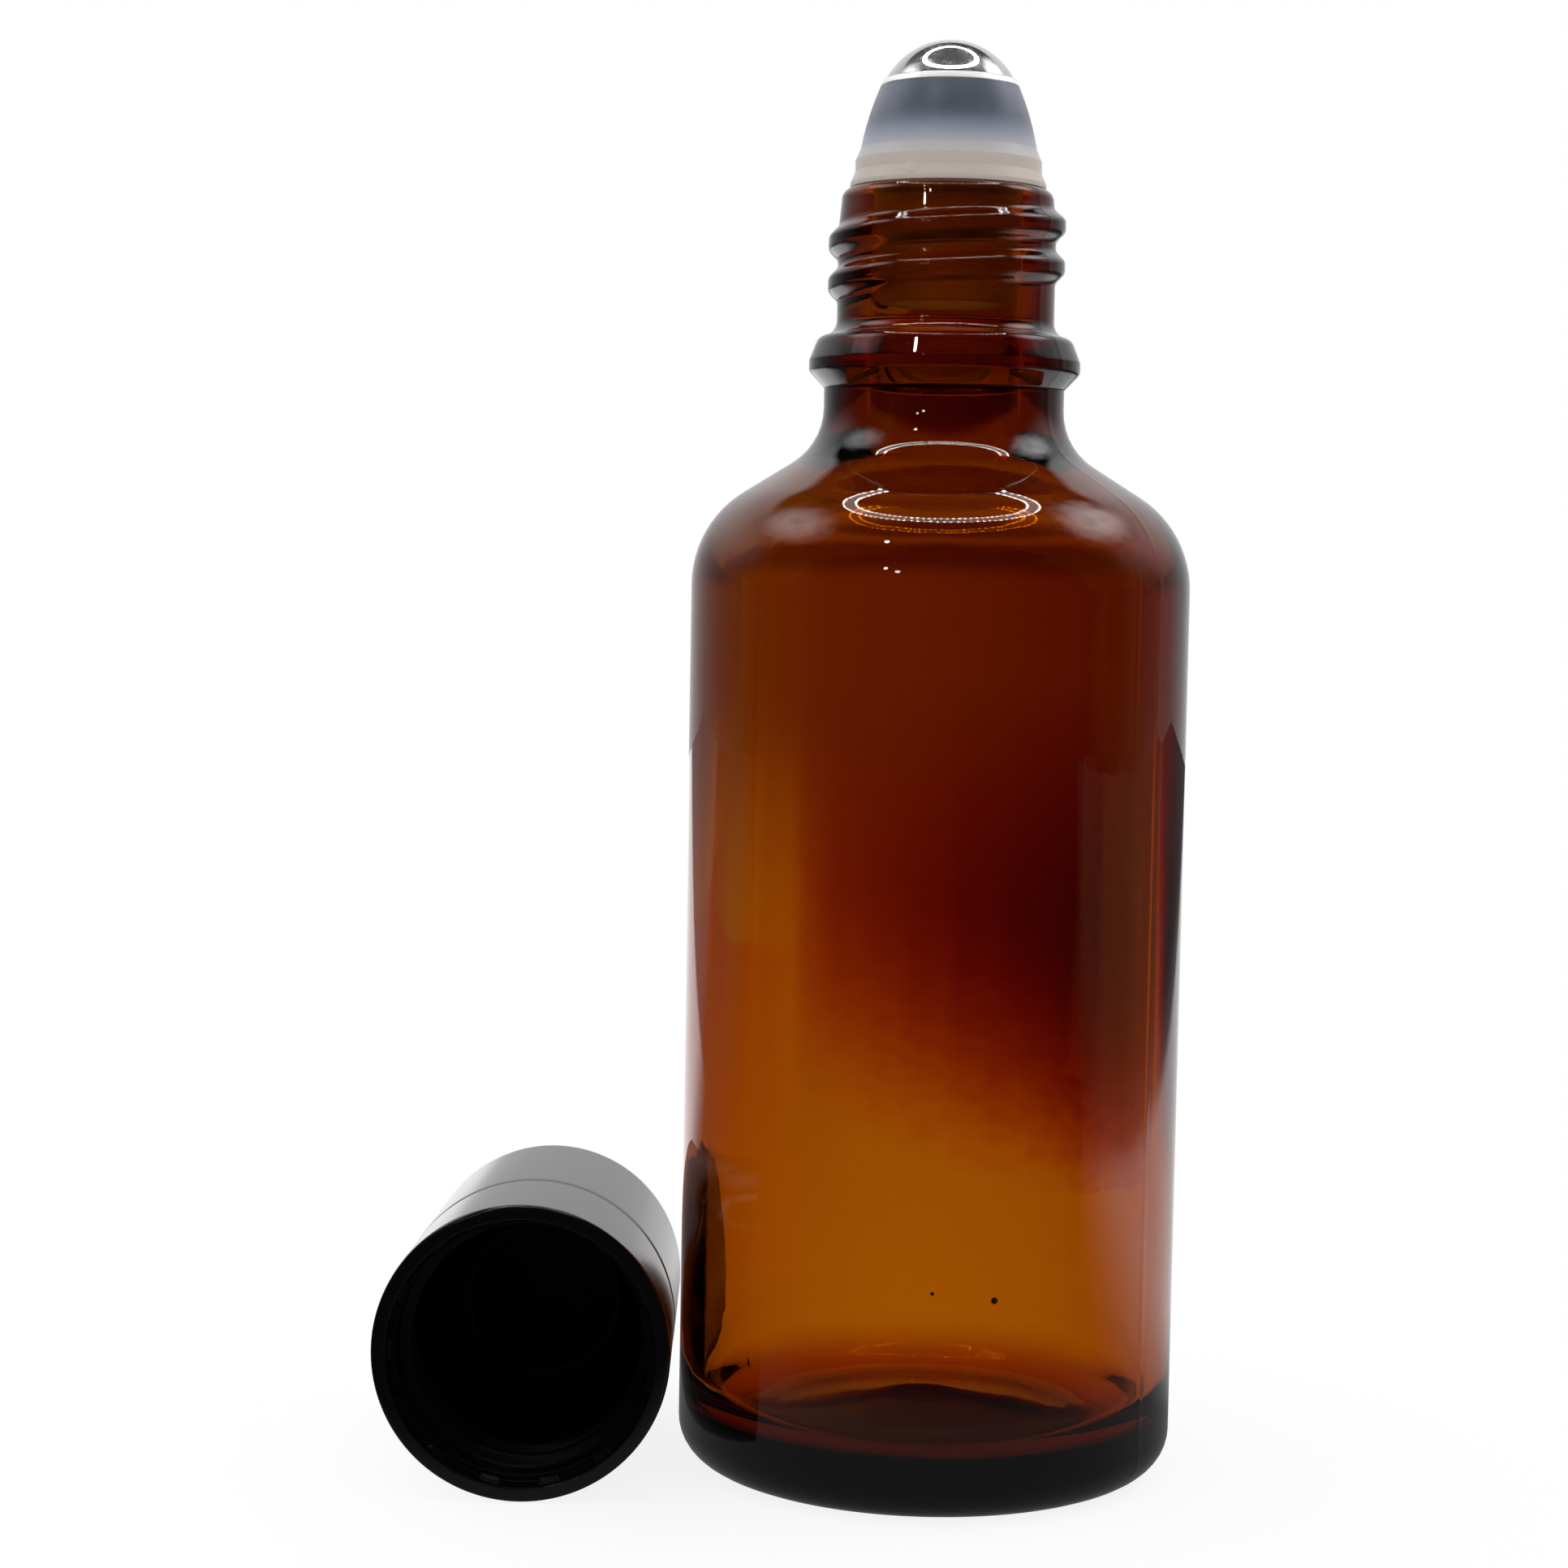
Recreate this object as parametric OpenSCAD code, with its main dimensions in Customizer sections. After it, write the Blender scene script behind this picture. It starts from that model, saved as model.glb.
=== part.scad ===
// A 50 ml amber glass roll-on bottle with its ball housing, its ball and its
// screw cap, which lies on its side at the bottle's left with its mouth forward.
// The origin is on the bottle's axis, at the plane that the bottle stands on.

/* [Bottle body] */
// Outer diameter of the glass body
body_d = 36.6; // [34:0.1:40]
// Height of the glass from the table to the top of its rim
glass_h = 94; // [90:0.5:104]
// Thickness of the glass at the side and the shoulder
glass_wall = 1.9; // [1.5:0.1:2.4]
// Thickness of the glass floor
floor_t = 3.6; // [2.6:0.1:5]
// Radius of the rounded heel outside
heel_round = 3; // [2:0.1:4]
// Radius of the corner inside, where the wall meets the floor
floor_round = 3; // [1.5:0.1:4]
// Height of the hollow under the floor
push_up_h = 0.8; // [0.4:0.1:1.2]
// Width of the flat ring that the bottle stands on
foot_w = 2.4; // [1.5:0.1:4]
// Height from the centre of the shoulder's arc up to the rim
shoulder_drop = 29; // [28:0.1:31]
// Radius of the shoulder's arc
shoulder_round = 8; // [7:0.1:8.5]
// Slope of the shoulder above the arc, from level
shoulder_slope = 32; // [29:1:35]

/* [Bottle neck] */
// Outer diameter of the neck below the bead
neck_d = 17.6; // [17:0.1:18.4]
// Radius of the outer hollow curve from shoulder to neck
neck_fillet = 4.8; // [4:0.1:5.4]
// Radius of the inner curve from shoulder to bore
bore_fillet = 5.5; // [4.5:0.1:6]
// Diameter of the bore through the neck
bore_d = 11.1; // [10.8:0.1:12]
// Outer diameter of the neck finish between the thread's turns
finish_d = 15.9; // [15.6:0.1:16.1]
// Outer diameter of the rim above the thread
rim_d = 15.5; // [15.1:0.1:15.6]
// Height of the slight taper from the finish in to the rim
rim_taper_h = 2; // [1.5:0.1:2.5]
// Radius of the rim's outer edge
rim_round = 1; // [0.6:0.05:1.1]
// Radius of the rim's inner edge
rim_inner_round = 0.4; // [0.2:0.05:0.6]
// Diameter of the bead under the thread
bead_d = 19.86; // [19.4:0.02:20.2]
// Height from the bead's widest line up to the rim
bead_drop = 12.8; // [12.6:0.1:13.2]
// Height of the bead's upright lower edge
bead_edge_h = 0.3; // [0.2:0.05:0.5]
// Height of the bead's sloping underside
bead_under_h = 1.55; // [1.2:0.05:1.8]
// Height from the bead's widest line to the centre of its round top edge
bead_face_h = 1.2; // [1:0.05:1.3]
// Radius of the bead's round top edge
bead_round = 0.9; // [0.7:0.05:1]
// How far the bead's face leans in from its widest line
bead_lean = 0.38; // [0.2:0.02:0.5]
// Radius of the hollow curve from the bead to the finish
bead_fillet = 1.15; // [0.9:0.05:1.2]

/* [Thread] */
// Outer diameter of the glass thread
thread_d = 17.3; // [17:0.05:17.5]
// Rise of the thread in one turn
thread_pitch = 3; // [2.9:0.02:3.1]
// Width of the glass thread at its root
thread_w = 2.3; // [2:0.05:2.4]
// Width of the glass thread's crest
thread_crest_w = 0.7; // [0.4:0.05:0.9]
// Length of the glass thread in turns
thread_turns = 1.9; // [1.5:0.05:2]
// Height from the thread's crest on the right side up to the rim
thread_drop = 2.55; // [2.5:0.05:2.8]
// Angle past the right side at which the thread ends at the top
thread_end_angle = 72; // [40:1:90]
// How deep a thread's ridge is rooted in its wall
thread_root = 0.35; // [0.2:0.05:0.5]

/* [Roller housing] */
// Length of the plug inside the bore
plug_len = 8.4; // [7.6:0.1:12]
// Wall of the plug
plug_wall = 1.1; // [0.8:0.05:1.4]
// Gap all round between the plug's wall and the bore
plug_gap = 0.12; // [0.08:0.01:0.2]
// Squeeze of each sealing ring against the bore
seal_squeeze = 0.04; // [0.02:0.01:0.08]
// Width of each sealing ring
seal_w = 0.8; // [0.6:0.05:1.2]
// Distance between the sealing rings
seal_pitch = 3; // [2.4:0.1:3.2]
// Number of sealing rings
seal_count = 2; // [1:1:2]
// Length of the plug's tapered lead-in
lead_in_h = 0.8; // [0.6:0.1:1.6]
// How far the lead-in narrows
lead_in_depth = 0.5; // [0.3:0.05:0.7]
// Diameter of the flange that rests on the rim
flange_d = 14.3; // [14:0.1:14.5]
// Height of the flange's upright edge
flange_edge_h = 0.35; // [0.25:0.05:0.5]
// Height of the flange's chamfer up to the band
flange_chamfer_h = 0.8; // [0.6:0.05:1]
// Diameter of the band above the flange
band_d = 13.6; // [13.4:0.05:13.7]
// Height of the band
band_h = 0.85; // [0.6:0.05:1]
// Height of the step from the band in to the cup
band_step_h = 0.85; // [0.6:0.05:1]
// Diameter of the cup at its foot
cup_foot_d = 12.85; // [12.7:0.05:13]
// Radius of the cup's side, seen as an outline
cup_crown_round = 30; // [20:1:60]
// Thickness of the lip that holds the ball
lip_t = 0.3; // [0.25:0.01:0.4]
// Height of the lip above the ball's centre
lip_rise = 2.35; // [2.1:0.05:2.5]
// Diameter of the feed hole under the ball
feed_d = 8; // [7:0.1:8.4]
// Number of feed slots round the ball's seat
slot_count = 8; // [4:1:10]
// Width of each feed slot
slot_w = 0.8; // [0.6:0.05:1]
// Depth of each feed slot behind the ball
slot_depth = 0.25; // [0.15:0.01:0.3]
// Height of the feed slots below the ball's centre
slot_reach = 2.9; // [2.4:0.1:3.2]
// Diameter of the round gate mark on the band
gate_d = 0.85; // [0.6:0.05:1]
// How far the gate mark stands out
gate_h = 0.12; // [0.08:0.01:0.2]
// Angle of the gate mark left of the front
gate_angle = 22; // [0:1:45]

/* [Ball] */
// Diameter of the steel ball
ball_d = 10.5; // [10.4:0.02:10.56]
// Running gap between the ball and its seat
ball_gap = 0.05; // [0.03:0.01:0.08]
// Height of the ball's centre above the rim
ball_rise = 5.5; // [5.45:0.01:5.6]

/* [Screw cap] */
// Outer diameter of the cap at its mouth
cap_mouth_d = 21.2; // [21:0.1:22]
// Outer diameter of the cap at its closed end
cap_end_d = 20.1; // [19.9:0.1:21]
// Length of the cap
cap_len = 29.5; // [28:0.1:31]
// Radius of the cap's closed edge
cap_end_round = 1.2; // [0.8:0.1:1.6]
// Radius of the cap's outer edge at the mouth
cap_mouth_round = 0.3; // [0.15:0.05:0.4]
// Thickness of the cap's closed end
cap_end_t = 1.9; // [1.6:0.05:2.1]
// Diameter of the recess inside the mouth
cap_recess_d = 19.1; // [18.9:0.1:19.3]
// Depth of the recess inside the mouth
cap_recess_h = 1.7; // [1.4:0.1:2]
// Gap all round between the glass thread and the cap's bore
cap_thread_gap = 0.4; // [0.3:0.05:0.5]
// Depth from the mouth to the end of the threaded bore
cap_bore_h = 11; // [10:0.5:12]
// Step in from the threaded bore to the upper bore
cap_bore_step = 0.35; // [0.2:0.05:0.5]
// Length of the taper between the two bores
cap_step_h = 0.6; // [0.4:0.05:0.8]
// Radius of the corner inside the closed end
cap_inner_round = 0.8; // [0.5:0.1:1]
// Height of the cap's inner thread
cap_thread_h = 0.85; // [0.7:0.05:0.9]
// Width of the cap's inner thread at its root
cap_thread_w = 1.5; // [1.2:0.05:1.7]
// Width of the crest of the cap's inner thread
cap_thread_crest_w = 0.45; // [0.3:0.05:0.6]
// Length of the cap's inner thread in turns
cap_thread_turns = 1.6; // [1.25:0.05:1.75]
// Depth from the mouth to the lowest point of the inner thread
cap_thread_start = 3.4; // [3.2:0.1:4]
// Number of lugs inside the mouth
lug_count = 14; // [10:1:18]
// Length of each lug round the mouth
lug_len = 1.75; // [1.2:0.05:2]
// How far each lug stands in
lug_h = 0.45; // [0.3:0.05:0.5]
// Width of each lug along the cap
lug_w = 0.7; // [0.5:0.05:0.8]
// Depth of the lugs from the mouth
lug_depth = 0.55; // [0.4:0.05:0.7]
// Distance from the mouth to the groove round the outside
groove_pos = 11.2; // [9:0.1:13]
// Width of the groove
groove_w = 0.7; // [0.5:0.05:0.9]
// Depth of the groove
groove_depth = 0.2; // [0.1:0.05:0.3]
// Wall of the seal ring inside the closed end
seal_ring_t = 0.7; // [0.5:0.05:0.9]
// Length of the seal ring
seal_ring_h = 9.4; // [8.6:0.1:9.6]
// Gap all round between the seal ring and the housing's cup
seal_ring_gap = 0.3; // [0.2:0.02:0.4]

/* [Where the cap lies] */
// Gap between the cap's side and the bottle's side
cap_side_gap = 0.35; // [0.2:0.05:2]
// How far the cap's mouth lies forward of the nearest point to the bottle
cap_forward = 14.5; // [6:0.1:16]
// Turn of the cap's axis from straight back, towards the left
cap_turn = 2.2; // [0:0.1:4]
// Gap under the lying cap, so that the bottle's foot alone carries the weight
cap_floor_gap = 0.1; // [0:0.05:0.3]

/* [Hidden] */

$fn = 96;
// Facets of the shallow hollow under the floor, which has a very large radius
push_up_fn = 360;
// Facets of the small gate mark and the lugs' round sides
small_fn = 24;
// How far a cut runs past the surface that it opens
overrun = 1;
// Steps of a thread in one turn
thread_steps = 30;
// Angle over which a thread grows to its full height at each end
thread_runout = 50;
// Height share and width share of a thread's side at its middle
thread_side_share = 0.6;
thread_side_w_share = 0.72;
// Least height share of a thread, where its end lies buried in the wall
thread_least_share = 0.08;

body_r = body_d / 2;
inner_r = body_r - glass_wall;
neck_r = neck_d / 2;
bore_r = bore_d / 2;
finish_r = finish_d / 2;
rim_r = rim_d / 2;
bead_r = bead_d / 2;
thread_r = thread_d / 2;
shoulder_z = glass_h - shoulder_drop;
bead_z = glass_h - bead_drop;
bead_round_r = bead_r - bead_lean - bead_round;
bead_round_z = bead_z + bead_face_h;
// The hollow curve touches both the bead's round edge and the finish
bead_fillet_r = finish_r + bead_fillet;
bead_fillet_z = bead_round_z
    + sqrt(pow(bead_round + bead_fillet, 2) - pow(bead_fillet_r - bead_round_r, 2));
push_up_r = body_r - heel_round - foot_w;
push_up_curve = (push_up_r * push_up_r + push_up_h * push_up_h) / (2 * push_up_h);

ball_r = ball_d / 2;
ball_z = glass_h + ball_rise;
ball_top_z = ball_z + ball_r;
seat_r = ball_r + ball_gap;
lip_z = ball_z + lip_rise;
lip_inner_r = sqrt(seat_r * seat_r - lip_rise * lip_rise);
lip_outer_r = lip_inner_r + lip_t;
plug_r = bore_r - plug_gap;
plug_inner_r = plug_r - plug_wall;
seal_r = bore_r + seal_squeeze;
feed_r = feed_d / 2;
feed_edge_z = ball_z - sqrt(seat_r * seat_r - feed_r * feed_r);
flange_r = flange_d / 2;
band_r = band_d / 2;
cup_foot_r = cup_foot_d / 2;
band_z = glass_h + flange_edge_h + flange_chamfer_h;
cup_z = band_z + band_h + band_step_h;
// The cup's side is one arc through its foot and the top of the lip
cup_chord_r = cup_foot_r - lip_outer_r;
cup_chord_h = lip_z - cup_z;
cup_chord = norm([cup_chord_r, cup_chord_h]);
cup_sagitta = sqrt(cup_crown_round * cup_crown_round - cup_chord * cup_chord / 4);
cup_arc_r = (cup_foot_r + lip_outer_r) / 2 - cup_sagitta * cup_chord_h / cup_chord;
cup_arc_z = (cup_z + lip_z) / 2 - cup_sagitta * cup_chord_r / cup_chord;

cap_mouth_r = cap_mouth_d / 2;
cap_end_r = cap_end_d / 2;
cap_recess_r = cap_recess_d / 2;
cap_bore_r = thread_r + cap_thread_gap;
cap_upper_r = cap_bore_r - cap_bore_step;
cap_inner_z = cap_len - cap_end_t;
cap_taper = atan((cap_mouth_r - cap_end_r) / cap_len);
seal_ring_inner_r = lip_outer_r + seal_ring_gap;
cap_near_r = cap_mouth_r - cap_forward * tan(cap_taper);
cap_axis_gap = body_r + cap_side_gap + cap_near_r;

// How far along the shoulder's normal a point lies
function along_normal(p) = p[0] * sin(shoulder_slope) + p[1] * cos(shoulder_slope);

// Where an arc of the shoulder turns into its straight slope
function slope_start(side_r, arc_r) =
    [side_r - arc_r + arc_r * sin(shoulder_slope), shoulder_z + arc_r * cos(shoulder_slope)];

// Height of the centre of the fillet between the slope and the throat
function fillet_z(side_r, arc_r, throat_r, fillet_r) =
    (fillet_r + along_normal(slope_start(side_r, arc_r)) - (throat_r + fillet_r) * sin(shoulder_slope))
    / cos(shoulder_slope);

// Where the slope meets that fillet
function slope_end(side_r, arc_r, throat_r, fillet_r) =
    [throat_r + fillet_r - fillet_r * sin(shoulder_slope),
     fillet_z(side_r, arc_r, throat_r, fillet_r) - fillet_r * cos(shoulder_slope)];

// Half outline of a body with a rounded bottom corner, a round shoulder and a throat
module body_half(side_r, bottom_z, corner_r, arc_r, throat_r, fillet_r) {
    start = slope_start(side_r, arc_r);
    end = slope_end(side_r, arc_r, throat_r, fillet_r);
    top_z = fillet_z(side_r, arc_r, throat_r, fillet_r);
    translate([0, bottom_z])
        square([side_r - corner_r, shoulder_z - bottom_z]);
    translate([0, bottom_z + corner_r])
        square([side_r, shoulder_z - bottom_z - corner_r]);
    translate([side_r - corner_r, bottom_z + corner_r])
        circle(corner_r);
    // On a slim body the shoulder's full circle would cross the axis
    intersection() {
        translate([side_r - arc_r, shoulder_z])
            circle(arc_r);
        translate([0, shoulder_z - arc_r - overrun])
            square([side_r + overrun, 2 * arc_r + 2 * overrun]);
    }
    difference() {
        polygon([
            [0, shoulder_z], [side_r - arc_r, shoulder_z], start, end,
            [throat_r + fillet_r, top_z], [0, top_z]
        ]);
        translate([throat_r + fillet_r, top_z])
            circle(fillet_r);
    }
}

// Half outline of the neck's outside, from the shoulder to the rim
module neck_half() {
    base_z = fillet_z(body_r, shoulder_round, neck_r, neck_fillet);
    under_z = bead_z - bead_edge_h / 2 - bead_under_h;
    rim_low_z = glass_h - rim_round;
    translate([0, base_z - overrun])
        square([neck_r, bead_z - base_z + overrun]);
    polygon([
        [0, under_z], [neck_r, under_z], [bead_r, bead_z - bead_edge_h / 2],
        [bead_r, bead_z + bead_edge_h / 2], [bead_r - bead_lean, bead_round_z],
        [0, bead_round_z]
    ]);
    translate([bead_round_r, bead_round_z])
        circle(bead_round);
    difference() {
        polygon([
            [0, bead_round_z], [bead_round_r, bead_round_z], [bead_fillet_r, bead_fillet_z],
            [0, bead_fillet_z]
        ]);
        translate([bead_fillet_r, bead_fillet_z])
            circle(bead_fillet);
    }
    polygon([
        [0, bead_round_z], [finish_r, bead_round_z], [finish_r, rim_low_z - rim_taper_h],
        [rim_r, rim_low_z], [rim_r - rim_round, glass_h], [0, glass_h]
    ]);
    translate([rim_r - rim_round, rim_low_z])
        circle(rim_round);
}

// Half outline of everything that is air inside the glass
module hollow_half() {
    flare_z = glass_h - rim_inner_round;
    throat_z = fillet_z(inner_r, shoulder_round - glass_wall, bore_r, bore_fillet);
    body_half(inner_r, floor_t, floor_round, shoulder_round - glass_wall, bore_r, bore_fillet);
    translate([0, throat_z - overrun])
        square([bore_r, glass_h + 2 * overrun - throat_z]);
    difference() {
        translate([0, flare_z])
            square([bore_r + rim_inner_round, rim_inner_round + overrun]);
        translate([bore_r + rim_inner_round, flare_z])
            circle(rim_inner_round);
    }
}

// A helical ridge on a wall of radius wall_r, crest_r at its crest, rooted in the wall
module thread_ridge(wall_r, crest_r, width, crest_w, turns, low_z, low_angle) {
    side = crest_r > wall_r ? 1 : -1;
    rise = abs(crest_r - wall_r) + thread_root;
    foot_r = wall_r - side * thread_root;
    count = ceil(turns * thread_steps);
    section = [
        [0, -width / 2], [thread_side_share, -thread_side_w_share * width / 2],
        [1, -crest_w / 2], [1, crest_w / 2],
        [thread_side_share, thread_side_w_share * width / 2], [0, width / 2]
    ];
    corners = len(section);
    function turned(i) = turns * 360 * i / count;
    function growth(i) = max(thread_least_share, min(1, turned(i) / thread_runout,
        (turns * 360 - turned(i)) / thread_runout));
    points = [
        for (i = [0 : count], s = section)
        let (r = foot_r + side * rise * s[0] * growth(i))
        let (a = low_angle + turned(i))
        [r * cos(a), r * sin(a), low_z + thread_pitch * turned(i) / 360 + s[1]]
    ];
    bands = [
        for (i = [0 : count - 1], k = [0 : corners - 1])
        let (a = i * corners + k, b = i * corners + (k + 1) % corners)
        each [[a, b, b + corners], [a, b + corners, a + corners]]
    ];
    first = [for (k = [corners - 1 : -1 : 0]) k];
    last = [for (k = [0 : corners - 1]) count * corners + k];
    faces = concat(bands, [first, last]);
    flipped = [for (f = faces) [for (k = [len(f) - 1 : -1 : 0]) f[k]]];
    polyhedron(points, side > 0 ? faces : flipped);
}

module glass_bottle() {
    color([0.45, 0.2, 0.05]) {
        rotate_extrude()
            difference() {
                union() {
                    body_half(body_r, 0, heel_round, shoulder_round, neck_r, neck_fillet);
                    neck_half();
                }
                hollow_half();
                intersection() {
                    translate([0, push_up_h - push_up_curve])
                        circle(push_up_curve, $fn = push_up_fn);
                    translate([0, -overrun])
                        square([push_up_r, push_up_h + overrun]);
                }
            }
        thread_ridge(finish_r, thread_r, thread_w, thread_crest_w, thread_turns,
            glass_h - thread_drop + thread_pitch * (thread_end_angle / 360 - thread_turns),
            thread_end_angle - 360 * thread_turns);
    }
}

// Half outline of the housing's outside: plug, flange, band and cup
module housing_half() {
    low_z = glass_h - plug_len;
    polygon([
        [0, low_z], [plug_r - lead_in_depth, low_z], [plug_r, low_z + lead_in_h],
        [plug_r, glass_h], [flange_r, glass_h], [flange_r, glass_h + flange_edge_h],
        [band_r, band_z], [band_r, band_z + band_h], [cup_foot_r, cup_z], [0, cup_z]
    ]);
    intersection() {
        translate([cup_arc_r, cup_arc_z])
            circle(cup_crown_round);
        translate([0, cup_z - overrun])
            square([cup_foot_r, lip_z - cup_z + overrun]);
    }
    for (i = [0 : seal_count - 1])
        translate([0, low_z + lead_in_h + seal_w + i * seal_pitch])
            polygon([
                [0, -seal_w / 2], [plug_r, -seal_w / 2], [seal_r, 0],
                [plug_r, seal_w / 2], [0, seal_w / 2]
            ]);
}

// One slot behind the ball, through which the liquid reaches it
module feed_slot() {
    translate([0, -slot_w / 2, ball_z - slot_reach])
        cube([seat_r + slot_depth, slot_w, slot_reach]);
}

module roller_housing() {
    shelf_z = feed_edge_z - plug_wall;
    color([0.86, 0.87, 0.88]) {
        difference() {
            rotate_extrude()
                housing_half();
            translate([0, 0, ball_z])
                sphere(seat_r);
            translate([0, 0, ball_z])
                cylinder(lip_rise + overrun, r = lip_inner_r);
            translate([0, 0, shelf_z - overrun])
                cylinder(ball_z - shelf_z + overrun, r = feed_r);
            translate([0, 0, glass_h - plug_len - overrun])
                cylinder(shelf_z - glass_h + plug_len + overrun, r = plug_inner_r);
            for (i = [0 : slot_count - 1])
                rotate([0, 0, (i + 0.5) * 360 / slot_count])
                    feed_slot();
        }
        rotate([0, 0, -gate_angle])
            translate([0, 0, band_z + band_h / 2])
                rotate([90, 0, 0])
                    difference() {
                        cylinder(band_r + gate_h, d = gate_d, $fn = small_fn);
                        translate([0, 0, -overrun])
                            cylinder(band_r - gate_h + overrun, d = gate_d + overrun, $fn = small_fn);
                    }
    }
}

module roller_ball() {
    color([0.75, 0.76, 0.78])
        translate([0, 0, ball_z])
            sphere(ball_r);
}

// Outer radius of the cap at a distance from its mouth
function cap_r_at(z) = cap_mouth_r - z * tan(cap_taper);

// Half outline of the cap, its mouth at zero and its closed end up
module cap_half() {
    groove_r = cap_r_at(groove_pos) - groove_depth;
    difference() {
        union() {
            polygon([
                [0, 0], [cap_mouth_r - cap_mouth_round, 0], [cap_r_at(cap_mouth_round), cap_mouth_round],
                [cap_r_at(cap_len - cap_end_round), cap_len - cap_end_round],
                [cap_r_at(cap_len - cap_end_round) - cap_end_round, cap_len], [0, cap_len]
            ]);
            translate([cap_r_at(cap_len - cap_end_round) - cap_end_round, cap_len - cap_end_round])
                circle(cap_end_round);
        }
        translate([groove_r, groove_pos - groove_w / 2])
            square([groove_depth + overrun, groove_w]);
        translate([0, -overrun])
            square([cap_recess_r, cap_recess_h + overrun]);
        translate([0, -overrun])
            square([cap_bore_r, cap_bore_h + overrun]);
        polygon([
            [0, cap_bore_h], [cap_bore_r, cap_bore_h],
            [cap_upper_r, cap_bore_h + cap_step_h], [0, cap_bore_h + cap_step_h]
        ]);
        difference() {
            union() {
                translate([0, cap_bore_h])
                    square([cap_upper_r, cap_inner_z - cap_inner_round - cap_bore_h]);
                translate([0, cap_inner_z - cap_inner_round])
                    square([cap_upper_r - cap_inner_round, cap_inner_round]);
                translate([cap_upper_r - cap_inner_round, cap_inner_z - cap_inner_round])
                    circle(cap_inner_round);
            }
            translate([seal_ring_inner_r, cap_inner_z - seal_ring_h])
                square([seal_ring_t, seal_ring_h]);
        }
    }
}

// One of the small lugs inside the mouth, rooted in the recess's wall
module mouth_lug() {
    difference() {
        translate([0, -lug_len / 2, lug_depth])
            cube([cap_recess_r + thread_root, lug_len, lug_w]);
        translate([0, 0, lug_depth - overrun])
            cylinder(lug_w + 2 * overrun, r = cap_recess_r - lug_h);
    }
}

module cap_upright() {
    rotate_extrude()
        cap_half();
    thread_ridge(cap_bore_r, cap_bore_r - cap_thread_h, cap_thread_w, cap_thread_crest_w,
        cap_thread_turns, cap_thread_start, 0);
    for (i = [0 : lug_count - 1])
        rotate([0, 0, i * 360 / lug_count])
            mouth_lug();
}

module screw_cap() {
    color([0.05, 0.05, 0.055])
        rotate([0, 0, cap_turn])
            translate([-cap_axis_gap, -cap_forward, cap_floor_gap + cap_mouth_r * cos(cap_taper)])
                rotate([-90 - cap_taper, 0, 0])
                    cap_upright();
}

glass_bottle();
roller_housing();
roller_ball();
screw_cap();
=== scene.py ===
# %% [markdown]
# # A roll-on bottle in amber glass
#
# This lesson dresses a small bottle in four pieces: blown amber glass, a milky ball housing, a
# steel ball and a black screw cap that lies beside it. The construction model comes first. It
# fixes where everything is, and each looks piece below stands in for one of its nodes.

# %% Load the construction model
import math

import bmesh
import bpy
from mathutils import Matrix, Vector, noise


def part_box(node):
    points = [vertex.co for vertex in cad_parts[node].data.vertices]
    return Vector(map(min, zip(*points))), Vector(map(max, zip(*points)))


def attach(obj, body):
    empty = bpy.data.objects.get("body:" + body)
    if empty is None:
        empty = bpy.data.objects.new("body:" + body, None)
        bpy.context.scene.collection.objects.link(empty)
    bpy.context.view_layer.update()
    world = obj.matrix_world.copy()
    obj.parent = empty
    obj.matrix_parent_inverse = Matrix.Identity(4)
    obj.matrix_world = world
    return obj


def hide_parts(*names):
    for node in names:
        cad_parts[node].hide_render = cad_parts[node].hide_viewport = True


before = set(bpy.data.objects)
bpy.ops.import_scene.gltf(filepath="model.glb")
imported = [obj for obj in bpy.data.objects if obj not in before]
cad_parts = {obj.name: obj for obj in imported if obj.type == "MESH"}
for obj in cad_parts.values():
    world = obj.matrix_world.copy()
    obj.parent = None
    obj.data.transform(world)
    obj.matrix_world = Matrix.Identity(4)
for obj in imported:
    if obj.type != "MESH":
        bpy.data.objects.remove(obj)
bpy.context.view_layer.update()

# %% [markdown]
# ## Colours and nodes
#
# A paint chart gives a colour as a hex value, which is sRGB. Blender's shaders count light, so the
# value has to be turned to linear first. One function does that for every paint colour here. A
# second one adds a shader node, sets its choices and fills its sockets: it can be handed another
# node, and then links that node's first output. A third one multiplies soft fades, because many
# looks below depend on where a point lies: milky at one height and clear at the next, say.

# %% Helpers for colours and nodes
MM = 0.001


def linear(hex_colour):
    """An sRGB hex colour as linear red, green and blue."""
    shares = [int(hex_colour[i:i + 2], 16) / 255 for i in (1, 3, 5)]
    return [s / 12.92 if s <= 0.04045 else ((s + 0.055) / 1.055) ** 2.4 for s in shares]


def rgba(hex_colour):
    return (*linear(hex_colour), 1.0)


def fill(node, inputs):
    """Fills a node's sockets. A node or a socket is linked, and a value is set."""
    for name, value in inputs.items():
        if isinstance(value, bpy.types.Node):
            value = next(socket for socket in value.outputs if socket.enabled)
        if isinstance(value, bpy.types.NodeSocket):
            node.id_data.links.new(value, node.inputs[name])
        else:
            node.inputs[name].default_value = value


def add(tree, kind, inputs=None, **settings):
    """Adds a node with its settings and fills its sockets."""
    made = tree.nodes.new(kind)
    for name, value in settings.items():
        setattr(made, name, value)
    fill(made, inputs or {})
    return made


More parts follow.
